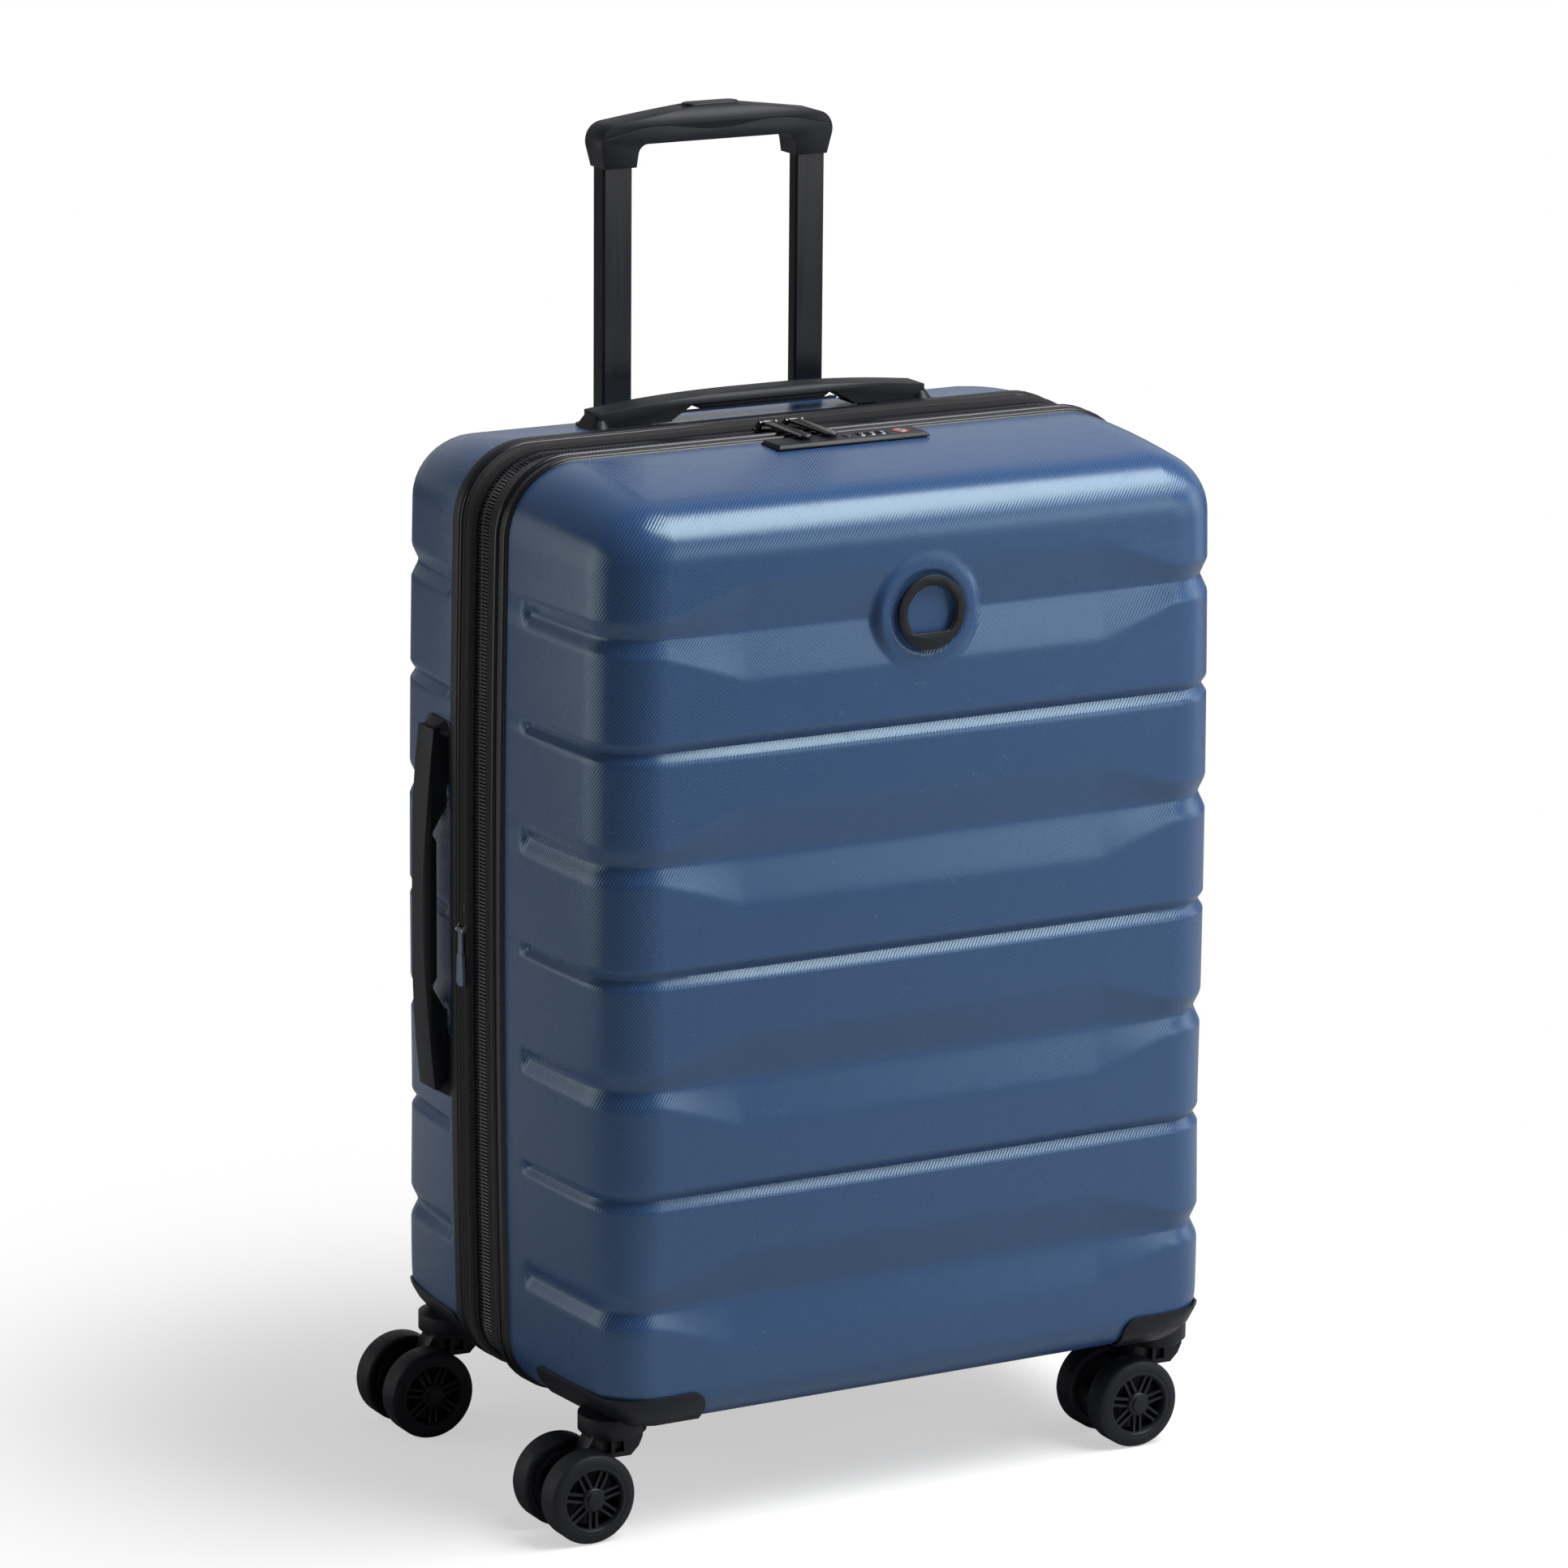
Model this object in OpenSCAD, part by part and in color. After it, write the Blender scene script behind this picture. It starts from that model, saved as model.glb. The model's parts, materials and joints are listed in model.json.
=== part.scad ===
// Hard shell suitcase on four swivel casters.
// Frame: millimetres, X to the right, front panel towards -Y, Z up.
// The origin is on the floor, below the middle of the case.

/* [Body] */
// Width across the shell edges
body_w = 452; // [440:1:500]
// Height of the top edge above the floor
body_top = 672; // [640:1:720]
// Gap between the floor and the bottom edge
ground_gap = 62; // [62:1:74]
// Depth from the front panel to the back panel
body_d = 308; // [295:1:340]
// Radius of the top corners seen from the front
top_r = 47; // [42:1:57]
// Radius of the bottom corners seen from the front
bottom_r = 40; // [38:1:52]
// Rounding between the side walls and the panels
edge_r = 25; // [20:1:30]
// Inward lean of the side walls where they meet the panels
side_lean = 5; // [4:0.5:9]
// Inward lean of the top and bottom walls where they meet the panels
top_lean = 9; // [6:0.5:14]
// Outward bow of the two sides at mid height
side_bow = 4.5; // [2:0.5:5]
// Outward crown in the middle of the panels
panel_crown = 2.5; // [1:0.5:4]
// Thickness of the moulded sheet
sheet_t = 2.6; // [2.2:0.1:3]

/* [Grooves] */
// Distance from the top and bottom edges to the outer grooves
groove_in = 88.5; // [88.5:0.5:100]
// Half height of a wide groove on the sides
wide_side_h = 9; // [7:0.5:11]
// Depth of a wide groove on the sides
wide_side_d = 5; // [4:0.25:5.5]
// Half height of a wide groove on the panels
wide_face_h = 31; // [26:1:33]
// Depth of a wide groove on the panels
wide_face_d = 6; // [4.5:0.25:6.5]
// Half height of a thin groove on the sides
thin_side_h = 5.2; // [4:0.2:7]
// Depth of a thin groove on the sides
thin_side_d = 3.4; // [2.5:0.1:4]
// Half height of a thin groove on the panels
thin_face_h = 6.5; // [5:0.5:9]
// Depth of a thin groove on the panels
thin_face_d = 3.6; // [3:0.1:4.5]
// Distance from the panel edge to the start of a wide facet
facet_margin = 15; // [10:1:20]
// Length over which a wide facet opens
facet_slant = 53; // [40:1:60]
// Half width of the plain middle of the back panel
plain_half = 105; // [100:1:115]

/* [Zip band] */
// Position of the parting plane in front of (-) or behind (+) the middle
split_y = 17.5; // [12:0.5:20]
// Width of one row of zip teeth with its edge
coil_w = 8; // [6:0.5:9]
// Width of the fabric strip on the front half
front_tape_w = 13; // [12:0.5:18]
// Width of the binding on the front shell
binding_w = 18.5; // [16:0.5:22]
// Width of the fabric gusset on the back half
gusset_w = 18.5; // [16:0.5:24]
// Width of the moulded edge on the back shell
edge_w = 10; // [9:0.5:14]
// Depth that a shell edge reaches into its binding
shell_grip = 5.5; // [4:0.5:7]
// How far the bindings stand out from the shells
binding_out = 1.8; // [1.2:0.1:2.6]
// Distance from a shell's outer face to the lining
lining_in = 9.5; // [9.4:0.1:12]

/* [Casters] */
// Radius of the wheels
wheel_r = 29.5; // [27:0.5:29.5]
// Width of one wheel of a pair
wheel_w = 22; // [16:0.5:24]
// Gap between the two wheels of a pair
wheel_gap = 18; // [15:0.5:20]
// Distance from the swivel axis to the axle
caster_trail = 27.5; // [22:0.5:30]
// Swivel axis, measured in from the side of the body
caster_in_x = 24.5; // [23:0.5:32]
// Swivel axis, measured in from the front and back panels
caster_in_y = 39; // [36:1:46]
// Diameter of the swivel boss
boss_d = 44; // [40:1:46]
// Diameter of the swivel pin
pin_d = 10; // [8:0.5:12]
// Diameter of the wheel axle
axle_d = 6; // [5:0.5:7]
// Height of the corner guards above the bottom edge
guard_h = 32; // [28:0.5:36]

/* [Handles] */
// Length of a carry handle with its feet
handle_l = 250; // [230:1:260]
// Width of a carry handle
handle_w = 22; // [20:1:26]
// Height of a carry handle at its middle
handle_h = 18; // [16:0.5:20]
// Lift of a carry handle when it is pulled
handle_lift = 8; // [6:0.5:9]
// Distance from the edge of the back shell to the handle feet
handle_gap = 1; // [1:0.5:8]

/* [Trolley] */
// Distance between the middles of the two trolley tubes
tube_gap = 142.5; // [130:1:150]
// Width of an inner trolley tube
tube_w = 21.5; // [18:0.5:22]
// Depth of an inner trolley tube
tube_d = 15.5; // [13:0.5:16]
// Travel of each trolley stage
stage_travel = 175; // [150:1:190]
// Height of the lower edge of the raised grip above the body
grip_rise = 155.5; // [150:0.5:160]
// Height of the grip from its lowest to its highest point
grip_h = 38; // [36:0.5:44]
// Depth of the grip from front to back
grip_d = 25; // [22:0.5:26]
// Distance from the back panel to the middle of the tubes
tube_in = 16.5; // [16.5:0.1:19]

/* [Lock] */
// Length of the lock plate
lock_l = 110; // [104:1:120]
// Width of the lock plate
lock_w = 24; // [22:0.5:28]
// Radius of the round badge
badge_r = 24; // [20:0.5:27]

/* [Hidden] */
$fn = 64;

// Colours
shell_blue = "steelblue";
dark_plastic = [0.13, 0.14, 0.16];
fabric_black = [0.10, 0.10, 0.11];
lining_grey = [0.45, 0.47, 0.50];
tube_black = [0.08, 0.08, 0.09];
steel = [0.60, 0.61, 0.63];

// Clearances
move_gap = 0.3;   // between pieces that move past each other
seat_gap = 0.15;  // around a piece that is pushed into its seat
run_gap = 0.05;   // radial play of a pin in its bore
coil_gap = 0.6;   // from the parting plane to each row of teeth

// Body
body_h = body_top - ground_gap;
mid_z = (body_top + ground_gap) / 2;
front_edge_y = split_y - coil_w - front_tape_w - binding_w;
back_edge_y = split_y + coil_w + gusset_w + edge_w;
front_rim_y = front_edge_y + shell_grip;
back_rim_y = back_edge_y - shell_grip;
front_depth = body_d / 2 + front_rim_y;
back_depth = body_d / 2 - back_rim_y;
face_half = body_w / 2 - side_lean - edge_r;
overshoot = 1;    // how far a cut runs past the face it opens

// Grooves, from the lowest to the highest: wide ones at both ends
groove_pitch = (body_h - 2 * groove_in) / 6;
groove_z = [for (i = [-3:3]) mid_z + i * groove_pitch];
front_groove_gap = 25.5;   // from the front shell's edge to the ends of its grooves
back_groove_gap = 11;    // the same on the back shell
groove_ramp = 5;         // length of the sharp end of a groove
facet_q1 = 2 + facet_margin / face_half;
facet_q2 = facet_q1 + facet_slant / face_half;
plain_q = 3 - plain_half / face_half;
front_middle_q = 2.67;

// ---- Moulded shells ------------------------------------------------------------
// A shell is a grid. Its rows lie at heights up the case. Its columns run along a
// section q: 0 at the edge on one side, 1 at the end of the leaning wall, 2 where
// the rounding meets the panel, 3 in the middle, and back to 6 on the other side.

// Rows are [0, up or down, angle round the corner] or [groove kind, groove, offset]
corner_angles = [0, 15, 30, 45, 58, 70, 83];
turns = len(corner_angles) - 1;
low_rows = [for (i = [turns:-1:0]) [0, -1, corner_angles[i]]];
high_rows = [for (a = corner_angles) [0, 1, a]];
groove_rows = [for (g = [0:6]) for (a = [-1, 0, 1]) [g % 2 == 0 ? 1 : 2, g, a]];
shell_rows = concat(low_rows, groove_rows, high_rows);
plain_rows = concat(low_rows, [for (a = [-0.5, 0, 0.5]) [3, 0, a]], high_rows);

function mirrored(q) = concat(q, [for (i = [len(q) - 2:-1:0]) 6 - q[i]]);

function half_height(kind, q) =
    kind == 1 ? lookup(q, [[0, wide_side_h], [facet_q1, wide_side_h * 1.3], [facet_q2, wide_face_h]])
              : lookup(q, [[0, thin_side_h], [facet_q2, thin_face_h]]);

function row_z(row, q, off) =
    row[0] == 3 ? mid_z + row[2] * 6 * groove_pitch :
    row[0] > 0 ? groove_z[row[1]] + row[2] * half_height(row[0], q) :
    row[1] > 0 ? body_top - top_r + (top_r - off) * sin(row[2])
               : ground_gap + bottom_r - (bottom_r - off) * sin(row[2]);

// Corner radius at a height, and how far that height is past the start of the corner
function corner_r(z) = z > mid_z ? top_r : bottom_r;
function corner_rise(z) =
    max(0, z > mid_z ? z - body_top + top_r : ground_gap + bottom_r - z);
function corner_reach(z, inset) =
    body_w / 2 - corner_r(z) + sqrt(max(0, pow(corner_r(z) - inset, 2) - pow(corner_rise(z), 2)));

// Depth tables: where a groove starts, runs along the side, and crosses the panel
function front_groove(kind, run) =
    let (side = kind == 1 ? wide_side_d : thin_side_d, face = kind == 1 ? wide_face_d : thin_face_d)
    [[front_groove_gap / run, 0], [(front_groove_gap + groove_ramp) / run, side],
     [facet_q1, side], [facet_q2, face]];
function back_groove(kind, run) =
    let (side = kind == 1 ? wide_side_d : thin_side_d, face = kind == 1 ? wide_face_d : thin_face_d)
    [[back_groove_gap / run, 0], [(back_groove_gap + groove_ramp) / run, side],
     [facet_q1, side], [facet_q2, face], [plain_q, 0]];

function lean_angle(depth, lean) = atan(2 * lean / (depth - edge_r));
function wall_run(depth, off, lean) = depth - edge_r + (edge_r - off) * sin(lean_angle(depth, lean));
function section_angle(p, a0) = p <= 1 ? a0 * p : a0 + (90 - a0) * (p - 1);
function section_depth(p, depth, off, lean) =
    p <= 1 ? p * wall_run(depth, off, lean)
           : depth - edge_r + (edge_r - off) * sin(section_angle(p, lean_angle(depth, lean)));
function section_inset(p, depth, off, lean) =
    let (a0 = lean_angle(depth, lean))
    p <= 1 ? lean * p * p : lean + (edge_r - off) * (cos(a0) - cos(section_angle(p, a0)));
// The place on the section where its inset reaches a given value
function section_at(inset, depth, off, lean) =
    let (a0 = lean_angle(depth, lean))
    inset <= lean ? sqrt(inset / lean)
        : 1 + (acos(cos(a0) - (inset - lean) / (edge_r - off)) - a0) / (90 - a0);

// How far the sides bow and the panels crown at a height
function bow_at(z) = 1 - pow((z - mid_z) / (body_h / 2), 2);
function spread(z) = 1 + side_bow / (body_w / 2) * bow_at(z);

function shell_point(row, column, off, depth, side) =
    let (q = min(column, 6 - column),
         hand = column <= 3 ? 1 : -1,
         z = row_z(row, q, off),
         room = corner_r(z) - off - corner_rise(z),
         lean = side_lean + (top_lean - side_lean) * pow(corner_rise(z) / corner_r(z), 2),
         full = section_inset(2, depth, off, lean),
         last = room >= full ? 2 : section_at(room, depth, off, lean),
         p = min(q, 2) * last / 2,
         angle = section_angle(p, lean_angle(depth, lean)),
         inset = section_inset(p, depth, off, lean),
         x = corner_reach(z, off + inset) * min(1, 3 - q),
         y = section_depth(p, depth, off, lean),
         is_groove = row[0] == 1 || row[0] == 2,
         run = wall_run(depth, 0, side_lean),
         table = side > 0 ? back_groove(row[0], run) : front_groove(row[0], run),
         cut = is_groove && side != 0 ? (1 - abs(row[2])) * lookup(q, table) : 0,
         crown = panel_crown * pow(y / depth, 2) * (1 - pow(2 * x / body_w, 2)) * bow_at(z))
    [hand * (x - cut * cos(angle)) * spread(z), y - cut * sin(angle) + crown, z];

function grid_points(rows, columns, off, depth, side) =
    [for (r = rows) for (c = columns) shell_point(r, c, off, depth, side)];

// Faces over a grid of n rows and m columns; turned over for an inner surface
function grid_faces(n, m, base, inner) =
    [for (i = [0:n - 2]) for (j = [0:m - 2])
        let (a = base + i * m + j, b = a + 1, c = b + m, d = a + m)
        each inner ? [[a, b, c], [a, c, d]] : [[a, d, c], [a, c, b]]];
function row_ring(m, base, inner) =
    inner ? [for (j = [0:m - 1]) base + j] : [for (j = [m - 1:-1:0]) base + j];

// Solid block with the outer form of a shell, flat at its edge plane
module shell_block(rows, columns, off, depth) {
    n = len(rows);
    m = len(columns);
    back = [for (i = [0:n - 2])
        let (right = i * m, left = right + m - 1)
        each [[left, left + m, right + m], [left, right + m, right]]];
    polyhedron(
        points = grid_points(rows, columns, off, depth, 0),
        faces = concat(grid_faces(n, m, 0, false), back,
            [row_ring(m, 0, true), row_ring(m, (n - 1) * m, false)]));
}

// Thin tray with the form of a shell, open at its edge plane
module shell_tray(rows, columns, off, thick, depth, side) {
    n = len(rows);
    m = len(columns);
    s = n * m;
    rim = [for (i = [0:n - 2])
        let (r = i * m, l = r + m - 1)
        each [[s + r, s + r + m, r + m], [s + r, r + m, r],
              [l, l + m, s + l + m], [l, s + l + m, s + l]]];
    t = (n - 1) * m;
    e = m - 1;
    ends = [[t + e, t, s + t], [t + e, s + t, s + t + e], [e, s + e, s], [e, s, 0]];
    polyhedron(
        points = concat(grid_points(rows, columns, off, depth, side),
                        grid_points(rows, columns, off + thick, depth, side)),
        faces = concat(grid_faces(n, m, 0, false), grid_faces(n, m, s, true), rim, ends,
            [row_ring(m, 0, true), row_ring(m, t, false),
             row_ring(m, s, false), row_ring(m, s + t, true)]));
}

function columns_for(depth, gap, middle) =
    let (run = wall_run(depth, 0, side_lean))
    mirrored([0, gap / run, (gap + groove_ramp) / run, 1, 1.28, 1.55, 1.8, 2,
              facet_q1, facet_q2, middle, 3]);
plain_columns = mirrored([0, 0.5, 1, 1.3, 1.6, 2, 2.5, 3]);

// ---- Rings that follow the outline -------------------------------------------
// The outline has a corner at every row of the shells, so they fit each other.
function outline_side(inset) =
    [for (r = shell_rows)
        let (z = row_z(r, 0, inset)) [corner_reach(z, inset) * spread(z), z]];
function outline(inset) =
    let (side = outline_side(inset))
    concat(side, [for (i = [len(side) - 1:-1:0]) [-side[i][0], side[i][1]]]);

// Ring from y0 to y1, between two distances inside the shell outline
module ring(y0, y1, outer_in, inner_in) {
    translate([0, y1, 0])
        rotate([90, 0, 0])
            linear_extrude(y1 - y0)
                difference() {
                    polygon(outline(outer_in));
                    polygon(outline(inner_in));
                }
}

tape_in = 2.2;       // face of the fabric, behind the outline
tape_t = 1.4;
coil_in = 0.8;       // face of the teeth, behind the outline
coil_t = 2.4;
hinge_low = mid_z - 3 * groove_pitch;
hinge_high = mid_z + 3 * groove_pitch;

// Block that marks the hinged stretch of the band, on the right side
module hinge_zone(grow = 0) {
    translate([body_w / 4, -body_d, hinge_low - grow])
        cube([body_w, 2 * body_d, hinge_high - hinge_low + 2 * grow]);
}

// Channel that grips a shell edge; dir is -1 for the front half and 1 for the back
module edge_channel(flat_y, open_y, dir) {
    groove_y = open_y - dir * (shell_grip + seat_gap);
    difference() {
        ring(min(flat_y, open_y), max(flat_y, open_y), -binding_out, lining_in);
        ring(min(groove_y, open_y + dir), max(groove_y, open_y + dir), -seat_gap, sheet_t + seat_gap);
    }
}

// ---- Back half --------------------------------------------------------------------
// Flat seats for the handle feet and the opening for the trolley cup
seat_top = body_top - 1.6;
seat_side = body_w / 2 + side_bow - 2.2;
foot_l = 42;
foot_w = 34;
foot_y = back_edge_y + handle_gap + foot_w / 2;
foot_x = handle_l / 2 - foot_l / 2;
grip_w = tube_gap + tube_w + 7;
tube_y = body_d / 2 - tube_in;
cup_wall = 1.6;
cup_room = 1.2;
cup_x = grip_w / 2 + cup_room + cup_wall;
cup_y0 = tube_y - grip_d / 2 - cup_room - cup_wall;
cup_y1 = tube_y + grip_d / 2 + cup_room + cup_wall;
grip_low = body_top + grip_rise;
cup_floor = grip_low - stage_travel - cup_room;

// Openings for the corner guards: the cut corners and the holes for the bearing necks
module corner_cuts(dir) {
    for (hand = [-1, 1]) {
        translate([hand * (guard_x + body_w / 4), dir * (guard_y + body_d / 4), 0])
            cube([body_w / 2, body_d / 2, 2 * guard_floor], center = true);
        translate([hand * caster_x, dir * caster_y, 0])
            cylinder(h = neck_top, d = neck_d + 2 * seat_gap);
    }
}

module back_shell() {
    color(shell_blue)
        difference() {
            translate([0, back_rim_y, 0])
                shell_tray(shell_rows, columns_for(back_depth, back_groove_gap, plain_q),
                           0, sheet_t, back_depth, 1);
            corner_cuts(1);
            translate([-cup_x, cup_y0, cup_floor - cup_wall])
                cube([2 * cup_x, cup_y1 - cup_y0, body_top]);
            for (hand = [-1, 1]) {
                translate([hand * foot_x, foot_y, seat_top + 5])
                    cube([foot_l, foot_w, 10], center = true);
                translate([-seat_side - 5, foot_y, mid_z + hand * foot_x])
                    cube([10, foot_w, foot_l], center = true);
            }
        }
}

module back_edge() {
    color(dark_plastic) edge_channel(back_edge_y - edge_w, back_edge_y, 1);
}

module gusset() {
    color(fabric_black)
        ring(split_y + coil_w, back_edge_y - edge_w, tape_in, tape_in + tape_t);
}

expansion_y = back_edge_y - edge_w - gusset_w / 2;
expansion_half = 3;
module expansion_coil() {
    color(tube_black)
        ring(expansion_y - expansion_half, expansion_y + expansion_half, coil_in + 0.4, tape_in);
}

module back_coil() {
    color(tube_black)
        difference() {
            ring(split_y + coil_gap, split_y + coil_w, coil_in, coil_in + coil_t);
            hinge_zone();
        }
}

module hinge_tape() {
    color(fabric_black)
        intersection() {
            ring(split_y + coil_gap, split_y + coil_w, tape_in, tape_in + tape_t);
            hinge_zone(-move_gap);
        }
}

// The back lining has a false floor that hides the trolley tubes
lining_t = 1;
false_floor = 32;
module back_lining() {
    color(lining_grey)
        difference() {
            translate([0, back_edge_y - edge_w, 0])
                shell_tray(plain_rows, plain_columns, lining_in, lining_t,
                           back_depth + edge_w - shell_grip - false_floor + lining_in, 0);
            guard_room(1);
        }
}

strap_w = 25;
strap_t = 2;
strap_y = back_edge_y + 6;
strap_half = body_w / 2 - lining_in - lining_t - 2;
strap_rise = 150;
buckle_l = 52;
buckle_w = 34;
module packing_straps() {
    color(fabric_black)
        difference() {
            translate([0, strap_y + strap_t, mid_z])
                rotate([90, 0, 0])
                    linear_extrude(strap_t)
                        union()
                            for (s = [-1, 1])
                                polygon([[-strap_half, s * strap_rise - strap_w / 2],
                                         [strap_half, -s * strap_rise - strap_w / 2],
                                         [strap_half, -s * strap_rise + strap_w / 2],
                                         [-strap_half, s * strap_rise + strap_w / 2]]);
            translate([0, strap_y, mid_z])
                cube([buckle_l - 12, 20, buckle_w - 8], center = true);
        }
}

module strap_buckle() {
    color(dark_plastic)
        translate([0, strap_y + strap_t / 2, mid_z])
            difference() {
                hull()
                    for (x = [-1, 1], z = [-1, 1])
                        translate([x * (buckle_l / 2 - 14), 0, z * (buckle_w / 2 - 14)])
                            rotate([90, 0, 0]) cylinder(h = strap_t + 5, r = 7.9, center = true, $fn = 32);
                translate([0, 0, 0]) cube([12, 20, 4], center = true);
            }
}

// ---- Corner guards with the swivel boss ---------------------------------------------
guard_reach = 71;     // length of a guard across the front or the back
guard_x = body_w / 2 - guard_reach;
guard_y = back_rim_y + 5.5;
guard_out = 1.6;
guard_round = 10;
guard_top = ground_gap + guard_h;
guard_floor = ground_gap + 11;
guard_plate = 1;
boss_bottom = ground_gap + 3;
boss_top = guard_floor + 3;
neck_d = boss_d - 14;
neck_top = guard_floor + 12;
pin_top = neck_top - 3;
race_depth = 1.5;
caster_x = body_w / 2 - caster_in_x;
caster_y = body_d / 2 - caster_in_y;

// Room that a lining leaves for the floors of the guards and the bearing necks
module guard_room(dir) {
    for (hand = [-1, 1]) {
        translate([hand * (guard_x + body_w / 4 - move_gap), dir * (guard_y + body_d / 4 - move_gap), 0])
            cube([body_w / 2, body_d / 2, 2 * (guard_floor + move_gap)], center = true);
        translate([hand * caster_x, dir * caster_y, 0])
            cylinder(h = neck_top + move_gap, d = neck_d + 2 * move_gap);
    }
}

// Front view of a guard: a band with one rounded top corner, from x0 outwards
module guard_profile(x0, width) {
    hull() {
        translate([x0, guard_floor - guard_plate]) square([width, guard_plate]);
        translate([x0 + guard_round, guard_top - guard_round]) circle(guard_round, $fn = 32);
        translate([x0 + width - 1, guard_top - 1]) square(1);
    }
}

// Shell block of one half, in place; dir is -1 for the front half and 1 for the back
module placed_block(off, dir) {
    depth = dir > 0 ? back_depth : front_depth;
    columns = dir > 0 ? columns_for(back_depth, back_groove_gap, plain_q)
                      : columns_for(front_depth, front_groove_gap, front_middle_q);
    translate([0, dir > 0 ? back_rim_y : front_rim_y, 0])
        mirror([0, dir > 0 ? 0 : 1, 0])
            shell_block(low_rows, columns, off, depth);
}

module corner_guard(hand, dir) {
    difference() {
        union() {
            intersection() {
                placed_block(-guard_out, dir);
                scale([hand, 1, 1])
                    translate([0, body_d, 0])
                        rotate([90, 0, 0])
                            linear_extrude(2 * body_d) guard_profile(guard_x, body_w / 2);
                scale([1, dir, 1])
                    translate([-body_w, 0, 0])
                        rotate([90, 0, 90])
                            linear_extrude(2 * body_w) guard_profile(guard_y, body_d / 2);
            }
            translate([hand * caster_x, dir * caster_y, boss_bottom])
                cylinder(h = boss_top - boss_bottom, d = boss_d);
            intersection() {
                placed_block(0, dir);
                translate([hand * caster_x, dir * caster_y, 0]) cylinder(h = neck_top, d = neck_d);
            }
        }
        difference() {
            placed_block(0, dir);
            translate([0, 0, guard_floor / 2]) cube([2 * body_w, 2 * body_d, guard_floor], center = true);
            translate([hand * caster_x, dir * caster_y, 0]) cylinder(h = neck_top, d = neck_d);
        }
        translate([hand * caster_x, dir * caster_y, 0]) {
            cylinder(h = pin_top + 1, d = pin_d + 2 * run_gap);
            translate([0, 0, boss_bottom - overshoot])
                cylinder(h = overshoot + race_depth, d = boss_d - 8);
        }
    }
}

module corner_guards(dir) {
    color(dark_plastic) {
        corner_guard(-1, dir);
        corner_guard(1, dir);
    }
}

// ---- Trolley --------------------------------------------------------------------------
tube_wall = 1.2;
slide_gap = 0.4;
front_bevel = 1.5;    // small bevels on the two front corners of a tube
outer_bevel = 2;      // bevel on the outer back corner
inner_bevel = 6.5;    // wide bevel on the inner back corner
grip_collar = 15;     // how far the inner tubes reach into the grip
outer_low = ground_gap + sheet_t + 24;
middle_low = outer_low + 8;
inner_low = middle_low + 8 + stage_travel;
inner_top = grip_low + grip_collar;
outer_top = cup_floor - cup_wall;
middle_top = outer_top - 2;

// Section of a right-hand tube, grown outwards by an even amount
module tube_section(grow) {
    w = tube_w / 2 + grow;
    d = tube_d / 2 + grow;
    f = front_bevel + 0.586 * grow;
    o = outer_bevel + 0.586 * grow;
    i = inner_bevel + 0.586 * grow;
    polygon([[w, -d + f], [w, d - o], [w - o, d], [-w + i, d],
             [-w, d - i], [-w, -d + f], [-w + f, -d], [w - f, -d]]);
}

// Two tubes from z0 to z1; bore 0 leaves them solid
module tube_pair(z0, z1, grow, wall) {
    for (hand = [-1, 1])
        scale([hand, 1, 1])
            translate([tube_gap / 2, tube_y, z0])
                linear_extrude(z1 - z0)
                    difference() {
                        tube_section(grow);
                        if (wall > 0) tube_section(grow - wall);
                    }
}

middle_grow = slide_gap + tube_wall;
outer_grow = 2 * slide_gap + 2 * tube_wall;

module trolley_cup() {
    color(dark_plastic)
        difference() {
            intersection() {
                translate([0, back_rim_y, 0])
                    shell_block(shell_rows, columns_for(back_depth, back_groove_gap, plain_q), 0, back_depth);
                translate([-cup_x, cup_y0, cup_floor - cup_wall])
                    cube([2 * cup_x, cup_y1 - cup_y0, body_top]);
            }
            translate([-cup_x + cup_wall, cup_y0 + cup_wall, cup_floor])
                cube([2 * (cup_x - cup_wall), cup_y1 - cup_y0 - 2 * cup_wall, body_top]);
            tube_pair(cup_floor - 2 * cup_wall, cup_floor + 1, middle_grow + slide_gap, 0);
        }
}

module outer_tubes() {
    color(tube_black) tube_pair(outer_low, outer_top, outer_grow, tube_wall);
}

module middle_tubes() {
    color(tube_black) tube_pair(middle_low, middle_top, middle_grow, tube_wall);
}

module inner_tubes() {
    color(tube_black) tube_pair(inner_low, inner_top, 0, tube_wall);
}

// Bracket that ties the lower tube ends to the bottom of the back shell
bracket_t = 3;
collar_h = 20;        // height of the collars round the tube ends
module tube_bracket() {
    reach = tube_gap / 2 + tube_w / 2 + outer_grow + bracket_t;
    deep = tube_d / 2 + outer_grow;
    color(dark_plastic)
        difference() {
            intersection() {
                union() {
                    translate([-reach, tube_y - deep - bracket_t, outer_low - bracket_t])
                        cube([2 * reach, 2 * (deep + bracket_t), bracket_t]);
                    for (hand = [-1, 1])
                        translate([hand * tube_gap / 2, tube_y, outer_low + collar_h / 2])
                            cube([tube_w + 2 * (outer_grow + bracket_t), 2 * (deep + bracket_t), collar_h],
                                 center = true);
                    for (x = [-1, 0, 1])
                        translate([x * reach * 0.6 - bracket_t / 2, tube_y - deep, ground_gap])
                            cube([bracket_t, 2 * deep, outer_low - ground_gap - bracket_t]);
                }
                translate([0, back_rim_y, 0])
                    shell_block(shell_rows, columns_for(back_depth, back_groove_gap, plain_q),
                                sheet_t + move_gap, back_depth);
            }
            tube_pair(outer_low, body_top, outer_grow, 0);
        }
}

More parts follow.
